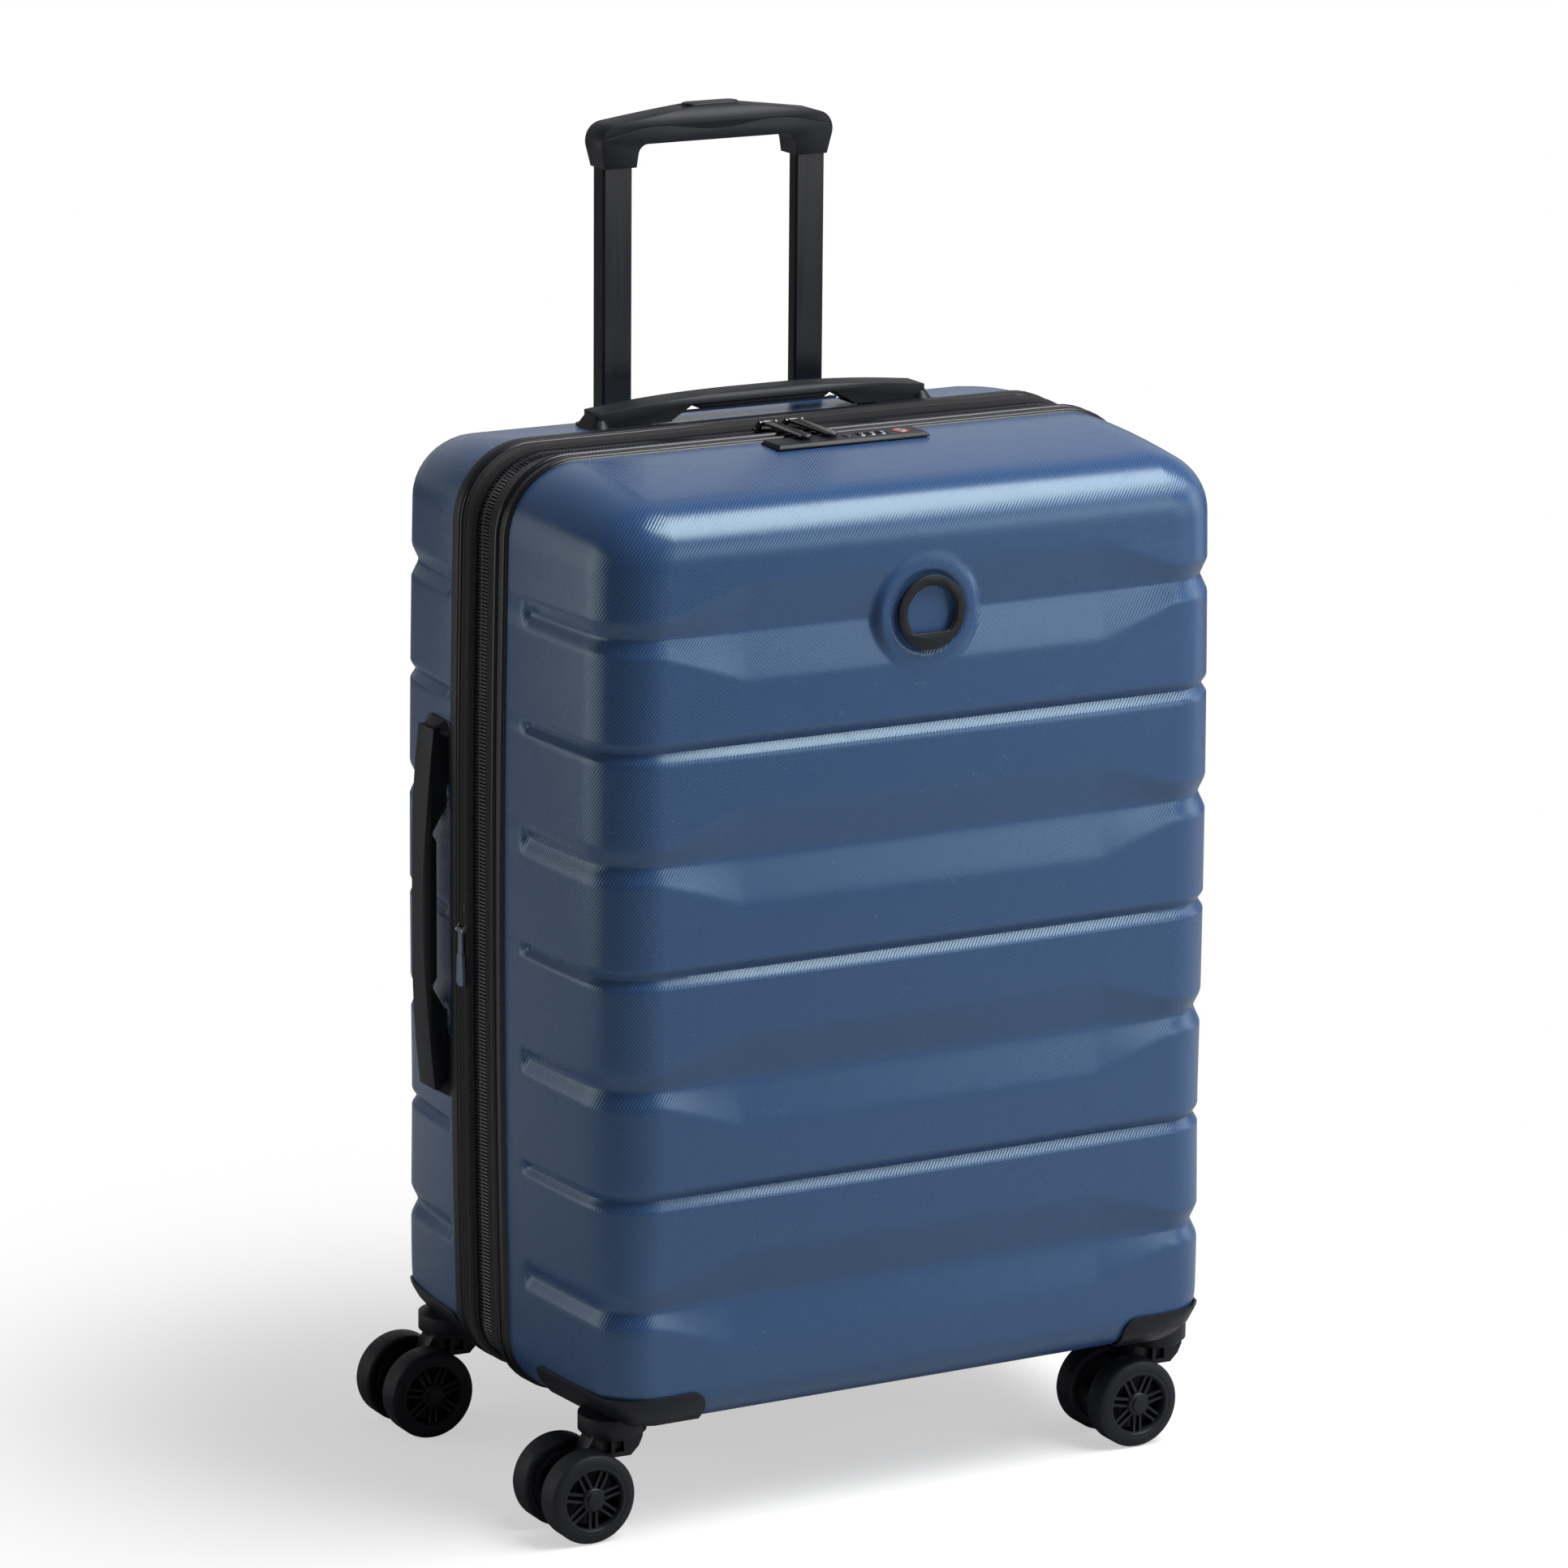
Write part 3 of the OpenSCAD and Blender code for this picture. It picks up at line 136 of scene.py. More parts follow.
class ShellSizes(bpy.types.PropertyGroup):
    edge_round: length("Edge rounding", "Radius between the side walls and the panels", 0.038)
    low_edge: length("Low edge rounding", "The same radius along the bottom, where the corners are smaller", 0.029)
    top_corner: length("Top corner", "Radius of the upper corners of the outline", 0.047)
    bottom_corner: length("Bottom corner", "Radius of the lower corners of the outline", 0.040)
    side_lean: length("Side lean", "How far the side walls lean in", 0.005)
    top_lean: length("Top lean", "How far the top and bottom walls lean in", 0.009)
    crown: length("Panel crown", "How far the panels bulge in the middle", 0.0025)
    wall: length("Wall", "Thickness of the moulded sheet", 0.0026)
    groove_round: FloatProperty(name="Groove softness", default=0.09, min=0.02, max=0.4,
                                description="Share of a groove's half height that its edges are rounded over")
    ridge_pitch: length("Ridge pitch", "Distance between the fine diagonal ridges", 0.0018)
    ridge_angle: FloatProperty(name="Ridge angle", default=math.radians(51.5), subtype="ANGLE",
                               description="Rise of the fine ridges on the panels")


class BandSizes(bpy.types.PropertyGroup):
    tooth_pitch: length("Tooth pitch", "Distance between the loops of one row of zip teeth", 0.0024)
    tooth_wide: length("Tooth width", "Thickness of one loop of the zip", 0.0015)
    gusset_bulge: length("Gusset bulge", "How far the expansion fabric stands out between its seams", 0.0035)
    bead: length("Binding bead", "Radius of the bead along the binding", 0.0022)


class Colours(bpy.types.PropertyGroup):
    shell: tint("Shell", "Colour of the moulded sheet", (0.038, 0.092, 0.224))
    black: tint("Black parts", "Colour of handles, guards and casters", (0.0062, 0.0074, 0.0110))
    cloth: tint("Fabric", "Colour of the woven band", (0.0055, 0.0060, 0.0075))
    lining: tint("Lining", "Colour of the lining", (0.20, 0.21, 0.23))
    nickel: tint("Nickel", "Colour of the expansion slider", (0.50, 0.46, 0.40))
    gunmetal: tint("Gunmetal", "Colour of the main sliders", (0.10, 0.10, 0.105))


class StageSizes(bpy.types.PropertyGroup):
    top_power: level("Top light", "Power of the soft light above, a little to the front right", 86.0)
    front_power: level("Front light", "Power of the low soft light at the front right", 11.0)
    side_power: level("Side light", "Power of the tall soft light at the right", 12.0)
    left_power: level("Left light", "Power of the wide soft light at the back left", 12.0)
    room_light: level("Room light", "Strength of the even light from all round", 0.12)
    lens: FloatProperty(name="Lens", description="Focal length in mm on a 36 mm sensor", default=164.278, min=20)


def sizes():
    return bpy.context.scene.suitcase_shell


def band():
    return bpy.context.scene.suitcase_band


def colours():
    return bpy.context.scene.suitcase_colours


# ---- Small modelling helpers -----------------------------------------------------

def clear_choice():
    if bpy.context.object and bpy.context.object.mode != "OBJECT":
        bpy.ops.object.mode_set(mode="OBJECT")
    bpy.ops.object.select_all(action="DESELECT")


def choose(obj):
    clear_choice()
    obj.select_set(True)
    bpy.context.view_layer.objects.active = obj
    return obj


def settle(obj, name=None):
    """Puts the place of a new piece into its mesh."""
    choose(obj)
    bpy.ops.object.transform_apply(location=True, rotation=True, scale=True)
    if name:
        obj.name = name
        obj.data.name = name
    return obj


def added(name):
    return settle(bpy.context.object, name)


def use(obj, kind, **settings):
    """Adds a modifier and applies it."""
    choose(obj)
    modifier = obj.modifiers.new(kind.title(), kind)
    for key, value in settings.items():
        setattr(modifier, key, value)
    bpy.ops.object.modifier_apply(modifier=modifier.name)
    return obj


def edit(obj):
    """Edit mode with the whole mesh chosen."""
    choose(obj)
    bpy.ops.object.mode_set(mode="EDIT")
    bpy.ops.mesh.select_all(action="SELECT")


def done():
    bpy.ops.object.mode_set(mode="OBJECT")


def smooth(obj, angle=35):
    choose(obj)
    bpy.ops.object.shade_smooth_by_angle(angle=math.radians(angle))
    return obj


def outward(obj, weld=True):
    edit(obj)
    if weld:
        bpy.ops.mesh.remove_doubles(threshold=1e-6)
    bpy.ops.mesh.normals_make_consistent(inside=False)
    done()
    return obj


def flip(obj):
    edit(obj)
    bpy.ops.mesh.flip_normals()
    done()


def finished(obj, material, body, slot, *nodes):
    """Gives a piece its material and its body, and hides the solids it stands for. The slot argument is not used."""
    obj.data.materials.clear()
    obj.data.materials.append(material)
    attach(obj, body)
    if nodes:
        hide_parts(*nodes)
    return obj


def points(obj):
    co = np.zeros(len(obj.data.vertices) * 3)
    obj.data.vertices.foreach_get("co", co)
    return co.reshape(-1, 3)


def set_points(obj, co):
    obj.data.vertices.foreach_set("co", np.asarray(co, float).ravel())
    obj.data.update()


def corner_map(obj):
    """Vertex of every face corner."""
    index = np.zeros(len(obj.data.loops), int)
    obj.data.loops.foreach_get("vertex_index", index)
    return index


def write_uv(obj, uv_of_corners):
    layer = obj.data.uv_layers.get("UVMap") or obj.data.uv_layers.new(name="UVMap")
    layer.data.foreach_set("uv", np.asarray(uv_of_corners, float).ravel())


def copy_of(node, name, width=0.0008, segments=2, angle=28):
    """A copy of a solid with clean faces and rounded edges."""
    obj = NODES[node].copy()
    obj.data = NODES[node].data.copy()
    obj.name = obj.data.name = name
    for key in list(obj.keys()):
        if key.startswith("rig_"):
            del obj[key]
    obj.parent = None
    bpy.context.scene.collection.objects.link(obj)
    obj.hide_render = obj.hide_viewport = False
    edit(obj)
    bpy.ops.mesh.remove_doubles(threshold=2e-6)
    bpy.ops.mesh.dissolve_limited(angle_limit=math.radians(1.5))
    done()
    if width:
        use(obj, "BEVEL", width=width, segments=segments, limit_method="ANGLE",
            angle_limit=math.radians(angle), use_clamp_overlap=True, harden_normals=False)
    return smooth(obj, 40)


# ---- The moulded form ------------------------------------------------------------

class Form:
    """One half of the moulded body, as a grid from its edge over the wall to the panel."""

    def __init__(self, side):
        s = sizes()
        self.side = side
        name = "back_shell" if side > 0 else "front_shell"
        self.rim = low(name).y if side > 0 else high(name).y
        self.depth = WALL_DEPTH[side]
        self.edge = s.edge_round
        self.pitch = (BODY_H - 2 * GROOVE_IN) / 6
        self.gap = GROOVE_GAP[side]
        face_half = BODY_HALF - s.side_lean - s.edge_round
        self.face_half = face_half
        self.facet1 = 2 + FACET_START / face_half
        self.facet2 = self.facet1 + FACET_RUN / face_half
        self.plain = 3 - PLAIN_HALF / face_half
        self.groove_z = [MID_Z + i * self.pitch for i in range(-3, 4)]

    def set_edge(self, z):
        """The edge rounding tightens towards the bottom."""
        s = sizes()
        t = min(1.0, max(0.0, (z - BODY_LOW - s.bottom_corner) / 0.15))
        self.edge = s.low_edge + (s.edge_round - s.low_edge) * t * t * (3 - 2 * t)

    def wall_run(self, off, lean):
        a = math.atan(2 * lean / (self.depth - self.edge))
        return self.depth - self.edge + (self.edge - off) * math.sin(a)

    def inset(self, p, off, lean):
        a = math.atan(2 * lean / (self.depth - self.edge))
        angle = np.where(p <= 1, a * p, a + (math.pi / 2 - a) * (p - 1))
        return np.where(p <= 1, lean * p * p, lean + (self.edge - off) * (math.cos(a) - np.cos(angle))), angle

    def place_of_inset(self, value, off, lean):
        a = math.atan(2 * lean / (self.depth - self.edge))
        if value <= lean:
            return math.sqrt(max(0, value) / lean)
        return 1 + (math.acos(max(-1, math.cos(a) - (value - lean) / (self.edge - off))) - a) / (math.pi / 2 - a)

    def rows(self, fine):
        """Heights of the rows, closer together where a groove crosses."""
        s = sizes()
        heights = []
        for top, radius in ((True, s.top_corner), (False, s.bottom_corner)):
            a_end = math.asin(1 - 0.009 / radius)
            rises = [radius * math.sin(a_end * i / 12) for i in range(1, 13)]
            rises += [radius - 0.009 * (1 - i / 9) ** 2 for i in range(1, 10)]
            heights += [BODY_TOP - radius + r if top else BODY_LOW + radius - r for r in rises]
        z0, z1 = BODY_LOW + s.bottom_corner, BODY_TOP - s.top_corner
        z = z0
        while z < z1 - 0.0004:
            heights.append(z)
            step = 0.008
            if fine:
                for i, g in enumerate(self.groove_z):
                    d = abs(z - g)
                    if i % 2 == 0 and d < 0.0345:
                        step = min(step, 0.0029)
                    if i == 6 and d < 0.041 and self.side < 0:
                        step = min(step, 0.0017)
                    if i % 2 and d < 0.0095:
                        step = min(step, 0.0013)
                    if i % 2 and 0.0095 <= d < 0.016:
                        step = min(step, 0.0032)
            z += step
        heights.append(z1)
        return np.array(sorted(heights))

    def columns(self, fine):
        run = self.wall_run(0, sizes().side_lean)
        if not fine:
            half = list(np.linspace(0, 1, 8)) + list(np.linspace(1.15, 2, 7)) + list(np.linspace(2.1, 3, 9))
        else:
            g = self.gap
            wall = [0, 0.003, 0.007] + ([0.012, 0.018, 0.0225] if g > 0.02 else [])
            wall += list(np.arange(g - 0.0015, g + 0.0085, 0.0012))
            wall += list(np.arange(g + 0.013, run - 0.004, 0.0075)) + [run]
            half = [w / run for w in wall] + list(1 + np.arange(1, 13) / 12)
            half += list(2 + np.arange(0.0015, 0.061, 0.0028) / self.face_half)
            plain_end = self.face_half - (0.042 if self.side < 0 else 0.004)
            half += list(2 + np.arange(0.067, plain_end, 0.0105) / self.face_half)
            if self.side < 0:
                half += list(3 - np.arange(0.0005, 0.0415, 0.0016) / self.face_half)
            half.append(3.0)
        half = np.array(sorted(half))
        return np.concatenate([half, 6 - half[-2::-1]])

    def cut(self, z, q, run):
        """Depth of the grooves at a height, for every column."""
        total = np.zeros_like(q)
        soft = sizes().groove_round
        taps = np.linspace(-1, 1, 7)
        for i, g in enumerate(self.groove_z):
            wide = i % 2 == 0
            if abs(z - g) > (0.045 if wide else 0.02):
                continue
            side, face = GROOVE_DEPTHS[wide]
            half = (np.interp(q, [0, self.facet1, self.facet2], [0.009, 0.0117, 0.031]) if wide
                    else np.interp(q, [0, self.facet2], [0.0052, 0.0065]))
            known = [self.gap / run, (self.gap + 0.005) / run, self.facet1, self.facet2]
            depths = [0, side, side, face]
            if self.side > 0:
                known, depths = known + [self.plain], depths + [0]
            reach = np.where(q < 1.2, 0.0022 / run, 0.006 / self.face_half)
            depth = np.mean([np.interp(q + t * reach, known, depths) for t in taps], 0)
            t = np.sqrt(((z - g) / half) ** 2 + (0.35 * soft) ** 2)
            shape = 0.5 * ((1 - t) + np.sqrt((1 - t) ** 2 + soft ** 2 * 0.5)) - 0.18 * soft
            total = np.maximum(total, depth * np.clip(shape, 0, None))
        return total

    def pad(self, x, z, cut):
        """Round pad behind the badge: it fills the groove and has a shallow seat for the ring."""
        at = middle("badge_ring")
        ring = span("badge_ring").x / 2
        r = np.hypot(x - at.x, z - at.z)
        t = np.clip((r - ring - 0.0095) / 0.0055, 0, 1)
        seat = 0.0010 * np.clip((ring + 0.0026 - r) / 0.0014, 0, 1)
        return cut * t * t * (3 - 2 * t) + seat - 0.0005 * (1 - t) * np.clip(1 - seat * 1e4, 0, 1)

    def point_rows(self, heights, q_all, off=0.0):
        s = sizes()
        out = np.zeros((len(heights), len(q_all), 3))
        q = np.minimum(q_all, 6 - q_all)
        hand = np.where(q_all <= 3, 1.0, -1.0)
        for i, z0 in enumerate(heights):
            top = z0 > MID_Z
            radius = s.top_corner if top else s.bottom_corner
            z = min(z0, BODY_TOP - off) if top else max(z0, BODY_LOW + off)
            self.set_edge(z)
            rise = max(0.0, z - BODY_TOP + radius if top else BODY_LOW + radius - z)
            room = max(radius - off - rise, 0)
            lean = s.side_lean + (s.top_lean - s.side_lean) * (rise / radius) ** 2
            full = float(self.inset(np.array(2.0), off, lean)[0])
            last = 2.0 if rise <= 0 or room >= full else self.place_of_inset(room, off, lean)
            p = np.minimum(q, 2) * last / 2
            inset, angle = self.inset(p, off, lean)
            arc = radius - off - inset
            reach = BODY_HALF - radius + (arc if rise <= 0 else np.sqrt(np.maximum(0, arc ** 2 - rise ** 2)))
            x = reach * np.minimum(1, 3 - q)
            y = np.where(p <= 1, p * self.wall_run(off, lean),
                         self.depth - self.edge + (self.edge - off) * np.sin(angle))
            run = self.wall_run(0, s.side_lean)
            cut = self.cut(z, q, run) if rise <= 0 else np.zeros_like(q)
            if self.side < 0 and rise <= 0 and abs(z - middle("badge_ring").z) < 0.06:
                cut = np.where(q > 2, self.pad(hand * x, z, cut), cut)
            bow = 1 - ((z - MID_Z) / (BODY_H / 2)) ** 2
            crown = s.crown * (y / self.depth) ** 2 * (1 - (x / BODY_HALF) ** 2) * bow
            spread = 1 + SIDE_BOW / BODY_HALF * bow
            out[i, :, 0] = hand * (x - cut * np.cos(angle)) * spread
            out[i, :, 1] = self.rim + self.side * (y - cut * np.sin(angle) + crown)
            out[i, :, 2] = z
        return out

    def skin(self, name, off=0.0, fine=True, heights=None):
        """The outer face of the form, with its surface unrolled into the UV map in metres."""
        heights = self.rows(fine) if heights is None else heights
        q = self.columns(fine)
        form = self.point_rows(heights, q, off)
        n, m = form.shape[:2]
        clear_choice()
        bpy.ops.mesh.primitive_grid_add(x_subdivisions=m - 1, y_subdivisions=n - 1, size=1)
        obj = added(name)
        start = points(obj)
        j = np.rint((start[:, 0] + 0.5) * (m - 1)).astype(int)
        i = np.rint((start[:, 1] + 0.5) * (n - 1)).astype(int)
        set_points(obj, form[i, j])
        across = np.zeros((n, m))
        across[:, 1:] = np.cumsum(np.linalg.norm(np.diff(form, axis=1), axis=2), 1)
        across -= across[:, m // 2:m // 2 + 1]
        up = np.zeros(n)
        up[1:] = np.cumsum(np.linalg.norm(np.diff(form[:, m // 2], axis=0), axis=1))
        k = corner_map(obj)
        write_uv(obj, np.stack([-across[i, j][k], up[i[k]]], 1))
        facing = obj.data.polygons[len(obj.data.polygons) // 2].normal.y
        wants = -1 if self.side < 0 else 1
        if facing * wants < 0:
            flip(obj)
        return obj


# ---- Outline of the body and bands that follow it ---------------------------------

def outline_stations(step=0.006):
    """Stations round the body: (kind, value), where kind is side or an end of the body."""
    s = sizes()
    out = []
    for top, hand in ((False, 1), (True, 1), (True, -1), (False, -1)):
        angles = np.radians(np.linspace(0, 90, 13))
        corner = [("corner", (top, hand, a)) for a in angles]
        rising = (hand > 0) == top
        out.append(corner if rising else corner[::-1])
    n_side = int(BODY_H / step)
    z0, z1 = BODY_LOW + s.bottom_corner, BODY_TOP - s.top_corner
    side = [("side", z) for z in np.linspace(z0, z1, n_side)[1:-1]]
    n_end = int(2 * BODY_HALF / step)
    flat_t, flat_b = BODY_HALF - s.top_corner, BODY_HALF - s.bottom_corner
    bottom_half = [("bottom", x) for x in np.linspace(-flat_b, flat_b, n_end)[1:-1]]
    top = [("top", x) for x in np.linspace(flat_t, -flat_t, n_end)[1:-1]]
    right = [("right", v) for _, v in side]
    left = [("left", v) for _, v in side[::-1]]
    return bottom_half + out[0] + right + out[1] + top + out[2] + left + out[3]


def outline_point(station, inset):
    """Place (x, z) on the outline, inset metres inside it."""
    s = sizes()
    kind, value = station
    if kind == "corner":
        top, hand, a = value
        radius = s.top_corner if top else s.bottom_corner
        r = radius - inset
        z = BODY_TOP - radius + r * math.sin(a) if top else BODY_LOW + radius - r * math.sin(a)
        x = hand * (BODY_HALF - radius + r * math.cos(a))
    elif kind in ("right", "left"):
        z = value
        x = (BODY_HALF - inset) * (1 if kind == "right" else -1)
    else:
        z = BODY_TOP - inset if kind == "top" else BODY_LOW + inset
        x = value
    bow = 1 - ((z - MID_Z) / (BODY_H / 2)) ** 2
    return x * (1 + SIDE_BOW / BODY_HALF * bow), z


def band_ring(name, profile, stations, shift=None):
    """A closed ring round the body. profile is a closed loop of (y, inset)."""
    n, m = len(stations), len(profile)
    clear_choice()
    bpy.ops.mesh.primitive_grid_add(x_subdivisions=n, y_subdivisions=m, size=1)
    obj = added(name)
    start = points(obj)
    i = np.rint((start[:, 0] + 0.5) * n).astype(int)
    j = np.rint((start[:, 1] + 0.5) * m).astype(int)
    co = np.zeros((n + 1, m + 1, 3))
    for a, station in enumerate(stations):
        for b, (y, inset) in enumerate(profile):
            extra = shift(station, y) if shift and b < m - 2 else 0.0
            x, z = outline_point(station, inset - extra)
            co[a, b] = (x, y, z)
    co[n] = co[0]
    co[:, m] = co[:, 0]
    set_points(obj, co[i, j])
    along = np.concatenate([[0], np.cumsum(np.linalg.norm(np.diff(co[:, 0], axis=0), axis=1))])
    loop = np.array(list(profile) + [profile[0]])
    round_ = np.concatenate([[0], np.cumsum(np.linalg.norm(np.diff(loop, axis=0), axis=1))])
    k = corner_map(obj)
    write_uv(obj, np.stack([along[i[k]], round_[j[k]]], 1))
    outward(obj)
    return smooth(obj, 40)


# ---- Shader node groups ------------------------------------------------------------

def put(tree, kind, place=(0, 0), inputs=None, **settings):
    node = tree.nodes.new(kind)
    node.location = place
    for key, value in settings.items():
        setattr(node, key, value)
    for key, value in (inputs or {}).items():
        if isinstance(value, bpy.types.NodeSocket):
            tree.links.new(value, node.inputs[key])
        else:
            node.inputs[key].default_value = value
    return node


def maths(tree, operation, a, b=0.0, place=(0, 0), clamp=False):
    node = put(tree, "ShaderNodeMath", place, {0: a, 1: b}, operation=operation)
    node.use_clamp = clamp
    return node.outputs[0]


def new_group(name, inputs, outputs):
    tree = bpy.data.node_groups.new(name, "ShaderNodeTree")
    for label, kind, default in inputs:
        socket = tree.interface.new_socket(label, in_out="INPUT", socket_type=kind)
        if default is not None:
            socket.default_value = default
    for label, kind in outputs:
        tree.interface.new_socket(label, in_out="OUTPUT", socket_type=kind)
    entry = tree.nodes.new("NodeGroupInput")
    entry.location = (-900, 0)
    leave = tree.nodes.new("NodeGroupOutput")
    leave.location = (900, 0)
    return tree, entry.outputs, leave.inputs


FLOAT, VECTOR, COLOUR = "NodeSocketFloat", "NodeSocketVector", "NodeSocketColor"


def noise(tree, place, vector, scale, detail, **more):
    """Noise texture; its first output is the value."""
    inputs = {"Vector": vector, "Scale": scale, "Detail": detail, **more}
    return put(tree, "ShaderNodeTexNoise", place, inputs).outputs[0]


def ridge_group():
    """Fine parallel ridges on the unrolled surface: a height for the bump, and a painted shade that is darkest in their
    valleys.
    """
    tree, given, out = new_group("Fine Ridges",
                                 [("Surface", VECTOR, None), ("Pitch", FLOAT, 0.0024), ("Angle", FLOAT, 1.0)],
                                 [("Height", FLOAT), ("Valley", FLOAT)])
    split = put(tree, "ShaderNodeSeparateXYZ", (-700, 0), {0: given["Surface"]})
    a = maths(tree, "MULTIPLY", split.outputs[0], maths(tree, "SINE", given["Angle"]), (-500, 100))
    b = maths(tree, "MULTIPLY", split.outputs[1], maths(tree, "COSINE", given["Angle"]), (-500, -100))
    phase = maths(tree, "DIVIDE", maths(tree, "SUBTRACT", a, b), given["Pitch"], (-200, 0))
    turn = maths(tree, "MULTIPLY", phase, math.tau, (0, 0))
    wave = maths(tree, "MULTIPLY_ADD", maths(tree, "SINE", turn), 0.5, (200, 0))
    wave.node.inputs[2].default_value = 0.5
    tree.links.new(wave, out["Height"])
    # Painted shade: one at the bottom of each ridge, nought on its crest.
    tree.links.new(maths(tree, "POWER", maths(tree, "SUBTRACT", 1.0, wave), 2.0, (400, -200)), out["Valley"])
    return tree


def grain_group():
    """Fine moulded grain with slow colour drift and rubbed patches."""
    tree, given, out = new_group("Moulded Grain", [("Place", VECTOR, None), ("Grain Scale", FLOAT, 900.0),
                                                   ("Drift Scale", FLOAT, 9.0)],
                                 [("Height", FLOAT), ("Drift", FLOAT), ("Rub", FLOAT)])
    fine = noise(tree, (-400, 200), given["Place"], given["Grain Scale"], 2.0)
    slow = noise(tree, (-400, -100), given["Place"], given["Drift Scale"], 3.0)
    rub = noise(tree, (-400, -400), given["Place"], 60.0, 5.0, Roughness=0.7)
    tree.links.new(fine, out["Height"])
    tree.links.new(slow, out["Drift"])
    ramp = put(tree, "ShaderNodeMapRange", (0, -400), {0: rub, 1: 0.52, 2: 0.72})
    tree.links.new(ramp.outputs[0], out["Rub"])
    return tree


def weave_group():
    """Plain weave on an unrolled surface, in threads of a given width. Its shade output is painted shade, darker where
    the threads dip, times a random drift.
    """
    tree, given, out = new_group("Woven Threads", [("Surface", VECTOR, None), ("Thread", FLOAT, 0.0006)],
                                 [("Height", FLOAT), ("Shade", FLOAT)])
    split = put(tree, "ShaderNodeSeparateXYZ", (-700, 0), {0: given["Surface"]})
    u = maths(tree, "DIVIDE", split.outputs[0], given["Thread"], (-500, 100))
    v = maths(tree, "DIVIDE", split.outputs[1], given["Thread"], (-500, -100))
    su = maths(tree, "SINE", maths(tree, "MULTIPLY", u, math.pi), 0, (-300, 100))
    sv = maths(tree, "SINE", maths(tree, "MULTIPLY", v, math.pi), 0, (-300, -100))
    over = maths(tree, "MULTIPLY", su, sv, (-100, 0))
    height = maths(tree, "ABSOLUTE", over, 0, (100, 0))
    drift = noise(tree, (-100, -300), given["Surface"], 420.0, 3.0)
    tree.links.new(height, out["Height"])
    # Painted shade: the colour follows the height of the weave and is dark between the threads; the noise adds random
    # drift.
    shade = maths(tree, "MULTIPLY", maths(tree, "ADD", height, 0.25), drift, (300, -200))
    tree.links.new(shade, out["Shade"])
    return tree


def stitch_group():
    """Rows of stitches on an unrolled band. Rows are given as distances across it."""
    tree, given, out = new_group("Stitch Rows", [("Surface", VECTOR, None), ("Row 1", FLOAT, 0.0),
                                                 ("Row 2", FLOAT, 0.0), ("Length", FLOAT, 0.0034)],
                                 [("Mask", FLOAT), ("Height", FLOAT)])
    split = put(tree, "ShaderNodeSeparateXYZ", (-700, 0), {0: given["Surface"]})
    dash = maths(tree, "PINGPONG", maths(tree, "DIVIDE", split.outputs[0], given["Length"]), 0.5, (-500, 0))
    on = put(tree, "ShaderNodeMapRange", (-300, 0), {0: dash, 1: 0.09, 2: 0.16})
    rows = []
    for label, y in (("Row 1", 200), ("Row 2", -200)):
        away = maths(tree, "ABSOLUTE", maths(tree, "SUBTRACT", split.outputs[1], given[label]), 0, (-400, y))
        rows.append(put(tree, "ShaderNodeMapRange", (-100, y), {0: away, 1: 0.00055, 2: 0.00015}).outputs[0])
    near = maths(tree, "MAXIMUM", rows[0], rows[1], (100, 0))
    mask = maths(tree, "MULTIPLY", near, on.outputs[0], (300, 0))
    tree.links.new(mask, out["Mask"])
    tree.links.new(mask, out["Height"])
    return tree


def brushed_group():
    """Long fine scratches for metal."""
    tree, given, out = new_group("Brushed Lines", [("Place", VECTOR, None), ("Stretch", VECTOR, (40.0, 1.0, 1.0))],
                                 [("Height", FLOAT), ("Shade", FLOAT)])
    spread = put(tree, "ShaderNodeVectorMath", (-500, 0), {0: given["Place"], 1: given["Stretch"]},
                 operation="MULTIPLY")
    lines = noise(tree, (-300, 0), spread.outputs[0], 60.0, 4.0)
    tree.links.new(lines, out["Height"])
    tree.links.new(lines, out["Shade"])
    return tree


GROUPS = {}


def group_node(tree, name, place, inputs):
    makers = {"ridges": ridge_group, "grain": grain_group, "weave": weave_group, "stitch": stitch_group,
              "brushed": brushed_group}
    if name not in GROUPS:
        GROUPS[name] = makers[name]()
    return put(tree, "ShaderNodeGroup", place, inputs, node_tree=GROUPS[name]).outputs


def new_material(name, **plain):
    material = bpy.data.materials.new(name)
    material.use_nodes = True
    tree = material.node_tree
    shader = tree.nodes["Principled BSDF"]
    for key, value in plain.items():
        shader.inputs[key.replace("_", " ")].default_value = value
    return material, tree, shader


def rgb(colour, factor=1.0):
    return tuple(c * factor for c in colour) + (1.0,)


def blend_colour(tree, factor, dark, light, place=(-300, 200)):
    """Mixes two colours. Each may be a colour or a socket."""
    return put(tree, "ShaderNodeMix", place, {0: factor, 6: dark, 7: light}, data_type="RGBA").outputs[2]


def bump(tree, height, distance, strength=1.0, place=(-200, -300), before=None):
    node = put(tree, "ShaderNodeBump", place, {"Height": height, "Distance": distance, "Strength": strength})
    if before is not None:
        tree.links.new(before, node.inputs["Normal"])
    return node.outputs[0]


